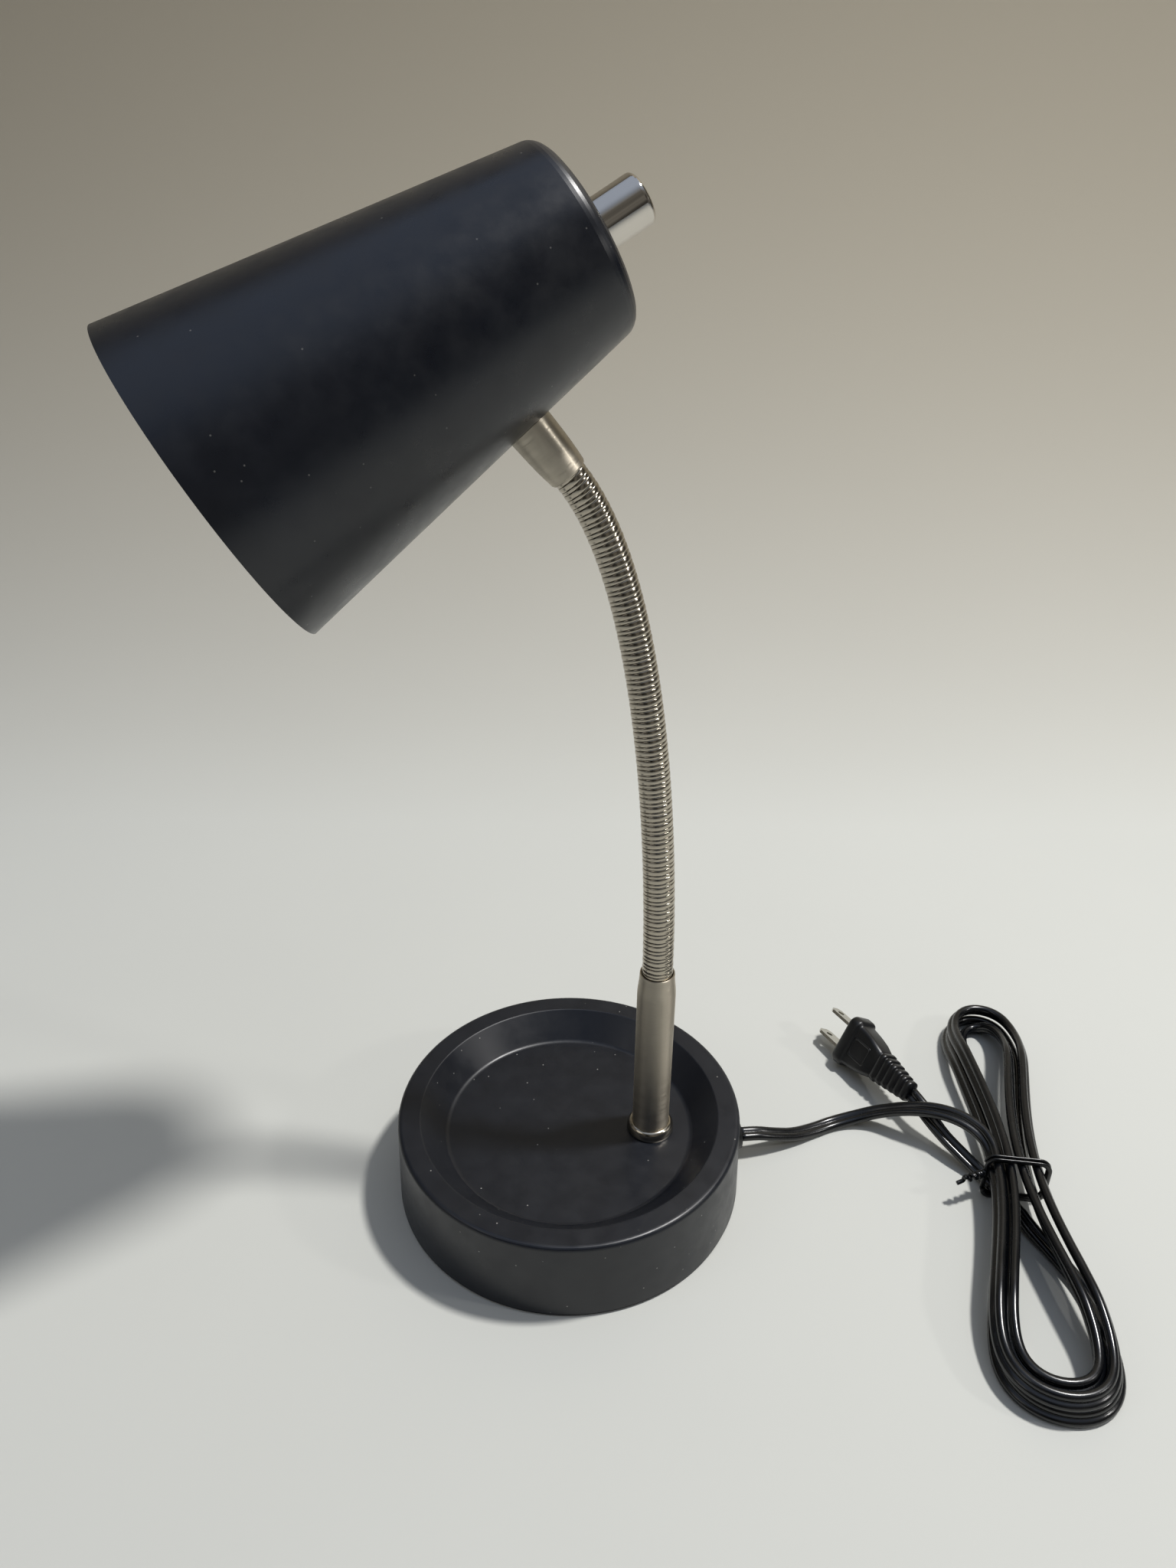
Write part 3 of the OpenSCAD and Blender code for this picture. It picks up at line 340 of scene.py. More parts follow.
def new_material(name):
    """An empty material, its node tree and its shader."""
    material = bpy.data.materials.get(name)
    if material:
        return material, None, None
    material = bpy.data.materials.new(name)
    material.use_nodes = True
    tree = material.node_tree
    tree.nodes.clear()
    shader = add_node(tree, "ShaderNodeBsdfPrincipled")
    add_node(tree, "ShaderNodeOutputMaterial", {"Surface": shader.outputs["BSDF"]})
    return material, tree, shader


def grain(tree, size, stretch=(1, 1, 1), detail=3.0, turn=(0, 0, 0)):
    """Noise of grains about size metres across, longer by stretch along the turned axes."""
    place = add_node(tree, "ShaderNodeTexCoord")
    mapping = add_node(tree, "ShaderNodeMapping", {
        "Vector": place.outputs["Object"], "Scale": tuple(s * size for s in stretch),
        "Rotation": turn}, vector_type="TEXTURE")
    return add_node(tree, "ShaderNodeTexNoise", {
        "Vector": mapping.outputs["Vector"], "Scale": 1.0, "Detail": detail, "Roughness": 0.55})


def set_range(tree, value, low, high):
    """Turns noise of about 0.3 to 0.7 into low to high."""
    node = add_node(tree, "ShaderNodeMapRange", {
        "Value": value, "From Min": 0.3, "From Max": 0.7, "To Min": low, "To Max": high})
    return node.outputs["Result"]


def bump(tree, shader, height, depth, strength):
    """Relief depth metres deep, from a height of 0 to 1."""
    node = add_node(tree, "ShaderNodeBump", {
        "Height": height, "Distance": depth, "Strength": strength})
    tree.links.new(node.outputs["Normal"], shader.inputs["Normal"])


def tone(tree, shader, colour, factor, darker):
    """A base colour that wanders between colour and colour times darker."""
    second = tuple(c * darker for c in colour[:3]) + (1,)
    mix = add_node(tree, "ShaderNodeMix", {"Factor": factor, MIX_A: colour, MIX_B: second},
                   data_type="RGBA")
    tree.links.new(mix.outputs[MIX_OUT], shader.inputs["Base Color"])
    return mix


def dusted_enamel(name, colour, dust, rough):
    """Stoved satin enamel on steel: a faint orange peel, soft rubbed patches and specks of dust."""
    material, tree, shader = new_material(name)
    if not tree:
        return material
    shader.inputs["IOR"].default_value = ENAMEL_IOR
    rubbed = grain(tree, 28 * MM, detail=5.0)
    tint = tone(tree, shader, colour, set_range(tree, rubbed.outputs["Fac"], 0.0, 1.0), 0.78)
    # Dust lies as sparse specks, one to a cell, drawn 0.4 to 0.7 mm wide so that they show.
    place = add_node(tree, "ShaderNodeTexCoord")
    mapping = add_node(tree, "ShaderNodeMapping", {
        "Vector": place.outputs["Object"], "Scale": (1 / DUST_CELL,) * 3})
    cells = add_node(tree, "ShaderNodeTexVoronoi", {
        "Vector": mapping.outputs["Vector"], "Scale": 1.0})
    speck = add_node(tree, "ShaderNodeMapRange", {
        "Value": cells.outputs["Distance"], "From Min": DUST_FULL, "From Max": DUST_NONE,
        "To Min": dust, "To Max": 0.0})
    dusty = add_node(tree, "ShaderNodeMix", {
        "Factor": speck.outputs["Result"], MIX_A: tint.outputs[MIX_OUT],
        MIX_B: linear(DUST_COLOUR)}, data_type="RGBA")
    tree.links.new(dusty.outputs[MIX_OUT], shader.inputs["Base Color"])
    worn = grain(tree, 9 * MM, detail=4.0)
    tree.links.new(set_range(tree, worn.outputs["Fac"], rough - 0.05, rough + 0.07),
                   shader.inputs["Roughness"])
    peel = grain(tree, 0.9 * MM, detail=2.0)
    bump(tree, shader, peel.outputs["Fac"], 0.012 * MM, 0.6)
    return material


def white_enamel():
    """White stoved enamel inside the shade: glossy, faintly yellowed in patches."""
    material, tree, shader = new_material("white_stoved_enamel")
    if not tree:
        return material
    patches = grain(tree, 20 * MM)
    lining = tuple(bpy.context.scene.desk_lamp_colours.lining)
    tone(tree, shader, lining, patches.outputs["Fac"], 0.9)
    tree.links.new(set_range(tree, patches.outputs["Fac"], 0.26, 0.36), shader.inputs["Roughness"])
    bump(tree, shader, grain(tree, 0.8 * MM, detail=2.0).outputs["Fac"], 0.01 * MM, 0.5)
    return material


def plated_metal(name, colour, rough, grain_size, depth, stretch=(1, 1, 1), turn=(0, 0, 0),
                 darker=0.82):
    """Plated metal: brushing lines or a soft polish, with a faintly uneven plate."""
    material, tree, shader = new_material(name)
    if not tree:
        return material
    shader.inputs["Metallic"].default_value = 1.0
    lines = grain(tree, grain_size, stretch, 4.0, turn)
    cloud = grain(tree, 14 * MM, detail=3.0)
    tone(tree, shader, colour, cloud.outputs["Fac"], darker)
    tree.links.new(set_range(tree, lines.outputs["Fac"], rough * 0.78, rough * 1.3),
                   shader.inputs["Roughness"])
    bump(tree, shader, lines.outputs["Fac"], depth, 0.5)
    return material


def brushed_nickel(name, way):
    """Nickel plate brushed round a tube: fine rings, which draw a highlight out along the tube."""
    nickel = tuple(bpy.context.scene.desk_lamp_colours.nickel)
    turn = way.to_track_quat("Z", "Y").to_euler()
    metal = plated_metal(name, nickel, 0.4, 0.3 * MM, 0.002 * MM, (30, 30, 1), turn, 0.86)
    shader = metal.node_tree.nodes["Principled BSDF"]
    shader.inputs["Anisotropic"].default_value = BRUSH_PULL
    shader.inputs["Anisotropic Rotation"].default_value = BRUSH_TURN
    return metal


def polished_nickel():
    """Nickel plate left half bright, on the neck and foot ring: small clear highlights."""
    nickel = tuple(bpy.context.scene.desk_lamp_colours.nickel)
    return plated_metal("half_bright_nickel_plate", nickel, 0.16, 0.5 * MM, 0.002 * MM)


def bright_chrome():
    """Chrome plate over a turned knob: nearly a mirror, with faint turning marks."""
    chrome = tuple(bpy.context.scene.desk_lamp_colours.chrome)
    return plated_metal("bright_chrome_plate", chrome, 0.06, 0.3 * MM, 0.0006 * MM, darker=0.93)


def soft_vinyl(name, rough, size):
    """Extruded or moulded black vinyl: a waxy gloss, drawn lines and a little bloom."""
    material, tree, shader = new_material(name)
    if not tree:
        return material
    shader.inputs["IOR"].default_value = VINYL_IOR
    bloom = grain(tree, 11 * MM, detail=4.0)
    black = tuple(bpy.context.scene.desk_lamp_colours.cord)
    tone(tree, shader, black, bloom.outputs["Fac"], 0.65)
    fine = grain(tree, size, detail=3.0)
    tree.links.new(set_range(tree, bloom.outputs["Fac"], rough - 0.05, rough + 0.07),
                   shader.inputs["Roughness"])
    bump(tree, shader, fine.outputs["Fac"], 0.01 * MM, 0.5)
    return material


def moulded_phenolic():
    """Black phenolic of the lampholder: hard, with a slight gloss and a fine flow grain."""
    material, tree, shader = new_material("moulded_phenolic")
    if not tree:
        return material
    flow = grain(tree, 5 * MM, detail=5.0)
    tone(tree, shader, linear("#161617"), flow.outputs["Fac"], 0.6)
    tree.links.new(set_range(tree, flow.outputs["Fac"], 0.26, 0.4), shader.inputs["Roughness"])
    bump(tree, shader, grain(tree, 0.7 * MM).outputs["Fac"], 0.012 * MM, 0.5)
    return material


def rough_part(name, hex_value, rough, size, depth, metal=0.0, darker=0.7):
    """A plain hidden part's finish: its colour, an even grain and an uneven gloss."""
    material, tree, shader = new_material(name)
    if not tree:
        return material
    shader.inputs["Metallic"].default_value = metal
    mottle = grain(tree, size, detail=5.0)
    tone(tree, shader, linear(hex_value), mottle.outputs["Fac"], darker)
    low, high = max(0.05, rough - 0.08), min(1, rough + 0.1)
    tree.links.new(set_range(tree, mottle.outputs["Fac"], low, high), shader.inputs["Roughness"])
    bump(tree, shader, mottle.outputs["Fac"], depth, 0.6)
    return material


def zinc_plate():
    """Zinc plate on the steel fixings: a dull grey sheen."""
    return rough_part("zinc_plated_steel", "#a3a6a8", 0.36, 4 * MM, 0.01 * MM, 1.0, 0.8)


def plain_brass():
    """Unlacquered brass of the pipe, contact and screws: yellow and slightly mottled."""
    return rough_part("plain_brass", "#b7975c", 0.3, 3 * MM, 0.008 * MM, 1.0, 0.8)


def lead_vinyl():
    """White vinyl over the inner leads: a low, even sheen."""
    return rough_part("white_lead_vinyl", "#d6d4cc", 0.45, 6 * MM, 0.02 * MM)


def moulded_vinyl():
    """Black vinyl of the plug, the bushing and the cord in the base: a low waxy gloss."""
    return soft_vinyl("moulded_black_vinyl", 0.36, 0.5 * MM)


def paper_sweep():
    """Matt pale grey paper that the lamp stands on, painted darker and warmer where it rises behind
    it, as shade.
    """
    material, tree, shader = new_material("matt_paper_sweep")
    if not tree:
        return material
    shader.inputs["Specular IOR Level"].default_value = 0.15
    shader.inputs["Roughness"].default_value = 0.9
    cloud = grain(tree, 180 * MM, detail=2.0)
    near = tone(tree, shader, linear("#c5c6c1"), cloud.outputs["Fac"], 0.96)
    place = add_node(tree, "ShaderNodeTexCoord")
    depth = add_node(tree, "ShaderNodeSeparateXYZ", {"Vector": place.outputs["Object"]})
    # Painted shade: towards the back, where the paper rises, its colour darkens to a warmer grey.
    share = add_node(tree, "ShaderNodeMapRange", {
        "Value": depth.outputs["Y"], "From Min": SWEEP_SHADE_FROM_Y, "From Max": SWEEP_BACK_Y})
    whole = add_node(tree, "ShaderNodeMix", {
        "Factor": share.outputs["Result"], MIX_A: near.outputs[MIX_OUT],
        MIX_B: linear("#9b9588")}, data_type="RGBA")
    tree.links.new(whole.outputs[MIX_OUT], shader.inputs["Base Color"])
    return material


# Meshes
def make_object(name, points, faces, material):
    """A smooth-shaded object from its points and faces."""
    mesh = bpy.data.meshes.new(name)
    mesh.from_pydata([tuple(p) for p in points], [], faces)
    mesh.validate()
    mesh.update()
    for face in mesh.polygons:
        face.use_smooth = True
    thing = bpy.data.objects.new(name, mesh)
    bpy.context.scene.collection.objects.link(thing)
    mesh.materials.append(material)
    return thing


def grid_faces(rows, columns, close_columns=True, first=0):
    """Faces between rows of equal length; each row closes on itself if close_columns is true."""
    wrap = columns if close_columns else columns - 1
    return [(first + i * columns + k, first + (i + 1) * columns + k,
             first + (i + 1) * columns + (k + 1) % columns, first + i * columns + (k + 1) % columns)
            for i in range(rows - 1) for k in range(wrap)]


def loft(name, rings, material):
    """A closed skin through rings of equal length, ordered so that it faces outwards."""
    n = len(rings[0])
    faces = grid_faces(len(rings), n)
    faces += [tuple(range(n)), tuple((len(rings) - 1) * n + k for k in reversed(range(n)))]
    return make_object(name, [p for ring in rings for p in ring], faces, material)


def lathe(name, profile, place, material, steps=128, close=False):
    """A profile of (radius, height) points turned round the z axis of place."""
    rows = profile + profile[:1] if close else profile
    around = [2 * math.pi * k / steps for k in range(steps)]
    points = [place @ Vector((r * math.cos(a), r * math.sin(a), z))
              for r, z in rows for a in around]
    faces = [tuple(reversed(f)) for f in grid_faces(len(rows), steps)]
    return make_object(name, points, faces, material)


def arc(centre, radius, start, end, steps=8):
    """Points of an arc in a plane; start and end are in degrees."""
    angles = [math.radians(start + (end - start) * i / steps) for i in range(steps + 1)]
    return [(centre[0] + radius * math.cos(a), centre[1] + radius * math.sin(a)) for a in angles]


def through(points, spacing):
    """A smooth line through points: places about every spacing metres, and their knot numbers."""
    places, knots = [], []
    last = len(points) - 1
    for i in range(last):
        a, b = points[i], points[i + 1]
        before = points[i - 1] if i else a * 2 - b
        after = points[i + 2] if i + 2 <= last else b * 2 - a
        steps = max(1, round((b - a).length / spacing))
        span = (b - a).length
        out = (b - before).normalized() * span
        into = (after - a).normalized() * span
        for k in range(steps):
            t = k / steps
            places.append(a * (2 * t ** 3 - 3 * t ** 2 + 1) + out * (t ** 3 - 2 * t ** 2 + t)
                          + b * (3 * t ** 2 - 2 * t ** 3) + into * (t ** 3 - t ** 2))
            knots.append(i + t)
    return places + [points[last]], knots + [last]


def sweep(name, line, section, material, turns=None, across=UP):
    """A section carried along a line, its width level unless it is turned."""
    rings = []
    for i, at in enumerate(line):
        way = (line[min(i + 1, len(line) - 1)] - line[max(i - 1, 0)]).normalized()
        side = across.cross(way).normalized()
        rise = way.cross(side)
        a = turns[i] if turns else 0
        c, s = math.cos(a), math.sin(a)
        rings.append([at + side * (x * c - y * s) + rise * (x * s + y * c) for x, y in section])
    return loft(name, rings, material)


def round_section(radius, steps):
    """A circle of points in a plane."""
    around = [2 * math.pi * k / steps for k in range(steps)]
    return [(radius * math.cos(a), radius * math.sin(a)) for a in around]


def shaded_node(name, material, angle=32):
    """Gives a solid its finish and smooth shading with sharp edges kept."""
    node = NODES[name]
    node.data.materials.clear()
    node.data.materials.append(material)
    for face in node.data.polygons:
        face.use_smooth = True
        face.material_index = 0
    node.data.set_sharp_from_angle(angle=math.radians(angle))
    return node


# Gooseneck
def neck_ends():
    """The mouths of the post and of the sleeve, and the way out of the sleeve."""
    low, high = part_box("post_tube")
    start = Vector(((low.x + high.x) / 2, (low.y + high.y) / 2, high.z))
    taper = (SHADE_R - SHADE_BACK_R) / SHADE_LEN
    tilt = math.atan(taper)
    head = head_matrix()
    way = Vector((math.cos(SLEEVE_TURN) * math.cos(tilt), math.sin(SLEEVE_TURN) * math.cos(tilt),
                  math.sin(tilt)))
    seat = math.cos(tilt) * (SHADE_R - taper * SLEEVE_AT)
    end = head @ (Vector((0, 0, SLEEVE_AT)) + way * (seat + SLEEVE_LEN))
    return start, end, head.to_3x3() @ way


class NeckLine:
    """The centre line of the gooseneck, by distance from the post's mouth."""

    def __init__(self):
        a, b, out = neck_ends()
        p = [a, a + UP * NECK_PULL_LOW, b + out * NECK_PULL_HIGH, b]
        self.points, self.runs = [], [0.0]
        for i in range(NECK_SAMPLES + 1):
            t = i / NECK_SAMPLES
            self.points.append(p[0] * (1 - t) ** 3 + p[1] * 3 * (1 - t) ** 2 * t
                               + p[2] * 3 * (1 - t) * t * t + p[3] * t ** 3)
            if i:
                self.runs.append(self.runs[-1] + (self.points[i] - self.points[i - 1]).length)
        self.length = self.runs[-1]
        self.out = out

    def at(self, s):
        """The place s metres from the post's mouth; beyond the ends the line goes straight on."""
        if s <= 0:
            return self.points[0] + UP * s
        if s >= self.length:
            return self.points[-1] - self.out * (s - self.length)
        low, high = 0, len(self.runs) - 1
        while high - low > 1:
            mid = (low + high) // 2
            low, high = (mid, high) if self.runs[mid] <= s else (low, mid)
        share = (s - self.runs[low]) / (self.runs[high] - self.runs[low])
        return self.points[low].lerp(self.points[high], share)

    def frame(self, s):
        """The place s metres on, and two directions across the line."""
        way = (self.at(s + MM) - self.at(s - MM)).normalized()
        side = Vector((0, 1, 0)).cross(way).normalized()
        return self.at(s), side, way.cross(side)


def wound_band(name, line, start, end, pitch, profile, material):
    """A band wound round the line. Its profile gives the share of the pitch and the radius."""
    rows = round((end - start) / pitch * WINDING_STEPS)
    points = []
    for n in range(rows + 1):
        angle = 2 * math.pi * n / WINDING_STEPS
        for share, radius in profile:
            at, side, rise = line.frame(start + pitch * (n / WINDING_STEPS + share))
            points.append(at + radius * (math.cos(angle) * side + math.sin(angle) * rise))
    return make_object(name, points, grid_faces(rows + 1, len(profile), False), material)


class DESKLAMP_OT_gooseneck(bpy.types.Operator):
    """Winds the gooseneck from a broad band and a narrow filler, in three stretches"""
    bl_idname = "desk_lamp.gooseneck"
    bl_label = "Gooseneck"

    def execute(self, context):
        sizes = context.scene.desk_lamp_sizes
        pitch, band = sizes.pitch, sizes.band
        # A dark, rough metal for the faces in the gaps between the bands: painted shade where the
        # bands meet.
        gap_shade = rough_part("painted_shade_in_the_gaps", "#1b1815", 0.5, 2 * MM, 0.005 * MM, 0.5)
        line = NeckLine()
        profile = [(band * share, NECK_R - depth * MM) for share, depth in BROAD_BAND]
        profile += [(band + (1 - band) * share, NECK_R - depth * MM)
                    for share, depth in NARROW_BAND]
        # The faces that go down into the gap between one band and the next; they take the dark
        # material, painted shade in the gaps.
        gaps = (0, len(BROAD_BAND) - 1, len(BROAD_BAND), len(profile) - 2)
        third = round(line.length / 3 / pitch) * pitch
        end = (math.floor(line.length / pitch) + WINDING_OVER) * pitch
        cuts = [-WINDING_OVER * pitch, third, 2 * third, end]
        names = ["gooseneck_low", "gooseneck_mid", "gooseneck_high"]
        nodes = ["neck_lower", "neck_middle", "neck_upper"]
        for i, node in enumerate(nodes):
            piece = wound_band(names[i], line, cuts[i], cuts[i + 1], pitch, profile,
                               polished_nickel())
            piece.data.materials.append(gap_shade)
            for face in piece.data.polygons:
                if face.index % (len(profile) - 1) in gaps:
                    face.material_index = 1
            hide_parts(node)
            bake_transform(piece)
        return {"FINISHED"}


# Cord
def hank_place(u):
    """A point of the tied hank, u turns from its start: a spiral in and out again in two layers."""
    angle = 2 * math.pi * u
    c, s = math.cos(angle), math.sin(angle)
    lobe = HANK_LOBE_NEAR if s > 0 else HANK_LOBE_FAR
    reach = HANK_WAIST + lobe * abs(s) ** HANK_POWER
    bend = HANK_POWER * lobe * math.copysign(abs(s) ** (HANK_POWER - 1), s)
    way = Vector((s * reach - bend * c * c, -HANK_HALF * c)).normalized()
    back = HANK_TURNS / 2
    tuck = HANK_TUCK * (1 - smooth((abs(u - back) - HANK_TUCK_FROM) / HANK_TUCK_OVER))
    flare = HANK_FLARE * smooth((u - HANK_TURNS + HANK_FLAT_END) / HANK_FLAT_END)
    inward = HANK_STEP * min(u, HANK_TURNS - u) + tuck - flare
    across = -c * reach - inward * way.y
    along = -HANK_HALF * s + inward * way.x
    layer = HANK_LAYER * (1 - smooth((u - back) / HANK_DROP + 0.5))
    fall = (abs(along) - HANK_LIFT_HALF) / (HANK_LIFT_END - HANK_LIFT_HALF)
    lift = HANK_LIFT * (1 - smooth(fall))
    if u > HANK_TURNS - HANK_FLAT_END:
        lift = 0
    turn = Matrix.Rotation(-HANK_TILT, 3, "Z")
    return HANK_AT + turn @ Vector((across, along, HANK_BED + layer + lift))


def cord_route():
    """The whole cord from the base to the plug: its places and how far its section is turned."""
    way = Vector((math.cos(CORD_EXIT_TURN), math.sin(CORD_EXIT_TURN), 0))
    start = way * CORD_EXIT_R + UP * CORD_EXIT_Z
    rings = round(HANK_TURNS * HANK_POINTS)
    hank = [hank_place(HANK_TURNS * i / rings) for i in range(rings + 1)]
    end = plug_matrix() @ Vector((-PLUG_LEN - RELIEF_LEN, 0, 0))
    knots = [start] + LEAD_POINTS + hank + TAIL_POINTS + [end]
    line, numbers = through(knots, CORD_SPACING)
    into = len(LEAD_POINTS) + 1
    out = into + rings
    last = len(knots) - 1
    turns = []
    for k in numbers:
        stand = smooth((k - into + ROLL_IN) / ROLL_IN) * (1 - smooth((k - out) / ROLL_OUT))
        at_plug = smooth((k - last + ROLL_PLUG) / ROLL_PLUG)
        turns.append(HANK_ROLL * stand + PLUG_TURN[0] * at_plug)
    return line, turns


def cord_section(wide, thick):
    """Two round cores side by side, joined by a web with a groove on each face."""
    r = thick / 2
    shift = wide / 2 - r
    right = [(shift + r * math.cos(math.radians(a)), r * math.sin(math.radians(a)))
             for a in range(-CORE_HALF_ARC, CORE_HALF_ARC + 1, CORE_STEP)]
    left = [(-x, -y) for x, y in right]
    web = r * WEB_SHARE
    return right + [(0, web)] + left + [(0, -web)]


class DESKLAMP_OT_cord(bpy.types.Operator):
    """Lays the flat cord: out of the base, round the tied hank and on to the plug"""
    bl_idname = "desk_lamp.cord"
    bl_label = "Cord"

    def execute(self, context):
        sizes = context.scene.desk_lamp_sizes
        line, turns = cord_route()
        cord = sweep("cord", line, cord_section(sizes.cord_wide, sizes.cord_thick),
                     soft_vinyl("extruded_black_vinyl", 0.24, 0.6 * MM), turns)
        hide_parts("cord_lead", "cord_hank", "cord_tail")
        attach(cord, "base")
        return {"FINISHED"}


class DESKLAMP_OT_cord_tie(bpy.types.Operator):
    """Wraps the wire tie round the waist of the hank and twists its ends together"""
    bl_idname = "desk_lamp.cord_tie"
    bl_label = "Cord tie"

    def execute(self, context):
        vinyl = soft_vinyl("tie_vinyl", 0.26, 0.4 * MM)
        place = Matrix.Translation(HANK_AT + Vector((0, -TIE_BEFORE - TIE_WIDE / 2, 0)))
        place = place @ Matrix.Rotation(-HANK_TILT, 4, "Z")
        left = -(HANK_WAIST + HANK_REACH + TIE_LEFT_GAP)
        right = HANK_WAIST - HANK_STEP / 2 + HANK_REACH + TIE_GAP
        low, high = TIE_BOTTOM, HANK_LIFT + HANK_LAYER + HANK_BED * 2 + TIE_GAP
        r = TIE_CORNER_R
        outline = []
        for cx, cz, a in ((left + r, low + r, 180), (right - r, low + r, 270),
                          (right - r, high - r, 0), (left + r, high - r, 90)):
            outline += [Vector((x, 0, z))
                        for x, z in arc((cx, cz), r, a, a + 90, TIE_CORNER_STEPS)]
        wire = []
        for k in range(2):
            wire += [place @ (p + Vector((0, TIE_WIRE_STEP * (k - 1 + i / len(outline)), 0)))
                     for i, p in enumerate(outline)]
        tape = [(x * TIE_SECTION[0], y * TIE_SECTION[1]) for x, y in round_section(1, 10)]
        # The section's width stands square to a line near the y axis, round which the tie runs.
        along = Vector((0.05, 1, 0.05))
        body = sweep("cord_tie", through(wire, TIE_SPACING)[0], tape, vinyl, across=along)
        start = Vector((left - TIE_TWIST_OUT, 0, TIE_TWIST_Z))
        way = TIE_TAIL.normalized()
        side = way.cross(UP).normalized()
        rise = way.cross(side)
        for k in range(2):
            # The first end is longer and stays closer; the second is shorter and flares out more.
            tail, flare = TIE_TAIL * (1 - 0.15 * k), TIE_END_FLARE * (0.6 + 0.4 * k)
            twist = []
            for i in range(TIE_END_STEPS + 1):
                t = i / TIE_END_STEPS
                angle = 2 * math.pi * TIE_END_TURNS * min(t / TIE_END_TWISTED, 1) + math.pi * k
                spread = TIE_END_R + max(0, t - TIE_END_TWISTED) * flare
                out = (side * math.cos(angle) + rise * math.sin(angle)) * spread
                twist.append(place @ (start + tail * t + out))
            end = sweep("cord_tie_end_%d" % (k + 1), twist, round_section(TIE_END_R, 8), vinyl)
            end.parent = body
        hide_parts("twist_tie")
        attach(body, "base")
        return {"FINISHED"}


# Plug
def rounded_ring(x, wide, thick, r):
    """A rounded rectangle across the plug at x."""
    points = []
    for cy, cz, a in CORNERS:
        centre = (cy * (wide / 2 - r), cz * (thick / 2 - r))
        points += [Vector((x, y, z)) for y, z in arc(centre, r, a, a + 90, CORNER_STEPS)]
    return points


class DESKLAMP_OT_plug(bpy.types.Operator):
    """Moulds the flat plug: collar, tapered body, grip panels, ribbed strain relief and blades"""
    bl_idname = "desk_lamp.plug"
    bl_label = "Plug"

    def execute(self, context):
        sizes = context.scene.desk_lamp_sizes
        vinyl = moulded_vinyl()
        place = plug_matrix()
        end_w, end_t = sizes.cord_wide + RELIEF_OVER_W, sizes.cord_thick + RELIEF_OVER_T
        back = -PLUG_LEN - RELIEF_LEN
        step = RELIEF_LEN / sizes.relief_ribs
        rings = [rounded_ring(back + at * MM, end_w - less * MM, end_t - less * MM, r * MM)
                 for at, less, r in RELIEF_END]
        for i in range(sizes.relief_ribs):
            k = i / (sizes.relief_ribs - 1)
            w, t = end_w + RELIEF_GROWS_W * k, end_t + RELIEF_GROWS_T * k
            for share, grow in RELIEF_RIB:
                rings.append(rounded_ring(back + step * (i + share), w + grow * MM, t + grow * MM,
                                          RELIEF_CORNER_R))
        for w, t, table in ((end_w, end_t, PLUG_BACK_RINGS), (PLUG_W, PLUG_T, PLUG_RINGS)):
            for share, dw, dt, r in table:
                rings.append(rounded_ring(PLUG_LEN * share, w + dw * MM, t + dt * MM, r * MM))
        shell = loft("plug_shell", [[place @ p for p in ring] for ring in rings], vinyl)
        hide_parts("plug_body")
        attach(shell, "base")
        points, faces = [], []
        count = len(CORNERS) * (GRIP_CORNER_STEPS + 1)
        for side in (-1, 1):
            lift = (PLUG_T / 2 - GRIP_SINK) * side
            ring_faces = grid_faces(len(GRIP_RINGS), count, True, len(points))
            faces += [f if side > 0 else tuple(reversed(f)) for f in ring_faces]
            for inset, height in GRIP_RINGS:
                for cx, cy, a in CORNERS:
                    centre = (GRIP_AT * PLUG_LEN + cx * (GRIP_CORNER_X - inset * MM),
                              cy * (GRIP_CORNER_Y - inset * MM))
                    points += [place @ Vector((x, y, lift + side * height * MM)) for x, y in
                               arc(centre, GRIP_CORNER_R, a, a + 90, GRIP_CORNER_STEPS)]
        grips = make_object("plug_grips", points, faces, vinyl)
        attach(grips, "base")
        blade = plated_metal("nickel_plated_brass", linear("#c3bfb4"), 0.22, 0.4 * MM, 0.003 * MM)
        shaded_node("plug_blades", blade)
        return {"FINISHED"}


# Head
class DESKLAMP_OT_shade(bpy.types.Operator):
    """Enamels the cone shade and lines its inside with white enamel"""
    bl_idname = "desk_lamp.shade"
    bl_label = "Shade"

    def execute(self, context):
        colour = tuple(context.scene.desk_lamp_colours.enamel)
        shaded_node("shade", dusted_enamel("satin_black_enamel_shade", colour, 0.12, 0.31))
        taper = (SHADE_R - SHADE_BACK_R) / SHADE_LEN
        tilt = math.atan(taper)
        wall = SHADE_WALL + LINING_COAT
        edge_z = SHADE_LEN - SHADE_EDGE_R
        centre = (SHADE_R - edge_z * taper - SHADE_EDGE_R / math.cos(tilt), edge_z)
        profile = [(SHADE_R - wall / math.cos(tilt), LINING_START)]
        profile += arc(centre, SHADE_EDGE_R - wall, math.degrees(tilt), 90)
        profile += [(LINING_HOLE_R, SHADE_LEN - wall)]
        lining = lathe("shade_lining", profile[::-1], head_matrix(), white_enamel(), 160)
        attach(lining, "head")
        return {"FINISHED"}


class DESKLAMP_OT_sleeve(bpy.types.Operator):
    """Plates the tapered sleeve, the washer and nut that hold it, and the switch's nut and shaft"""
    bl_idname = "desk_lamp.sleeve"
    bl_label = "Sleeve"

    def execute(self, context):
        shaded_node("head_sleeve", brushed_nickel("brushed_nickel_plate_sleeve", neck_ends()[2]))
        for name in ("sleeve_washer", "sleeve_nut", "bush_nut", "switch_shaft"):
            shaded_node(name, zinc_plate())
        return {"FINISHED"}


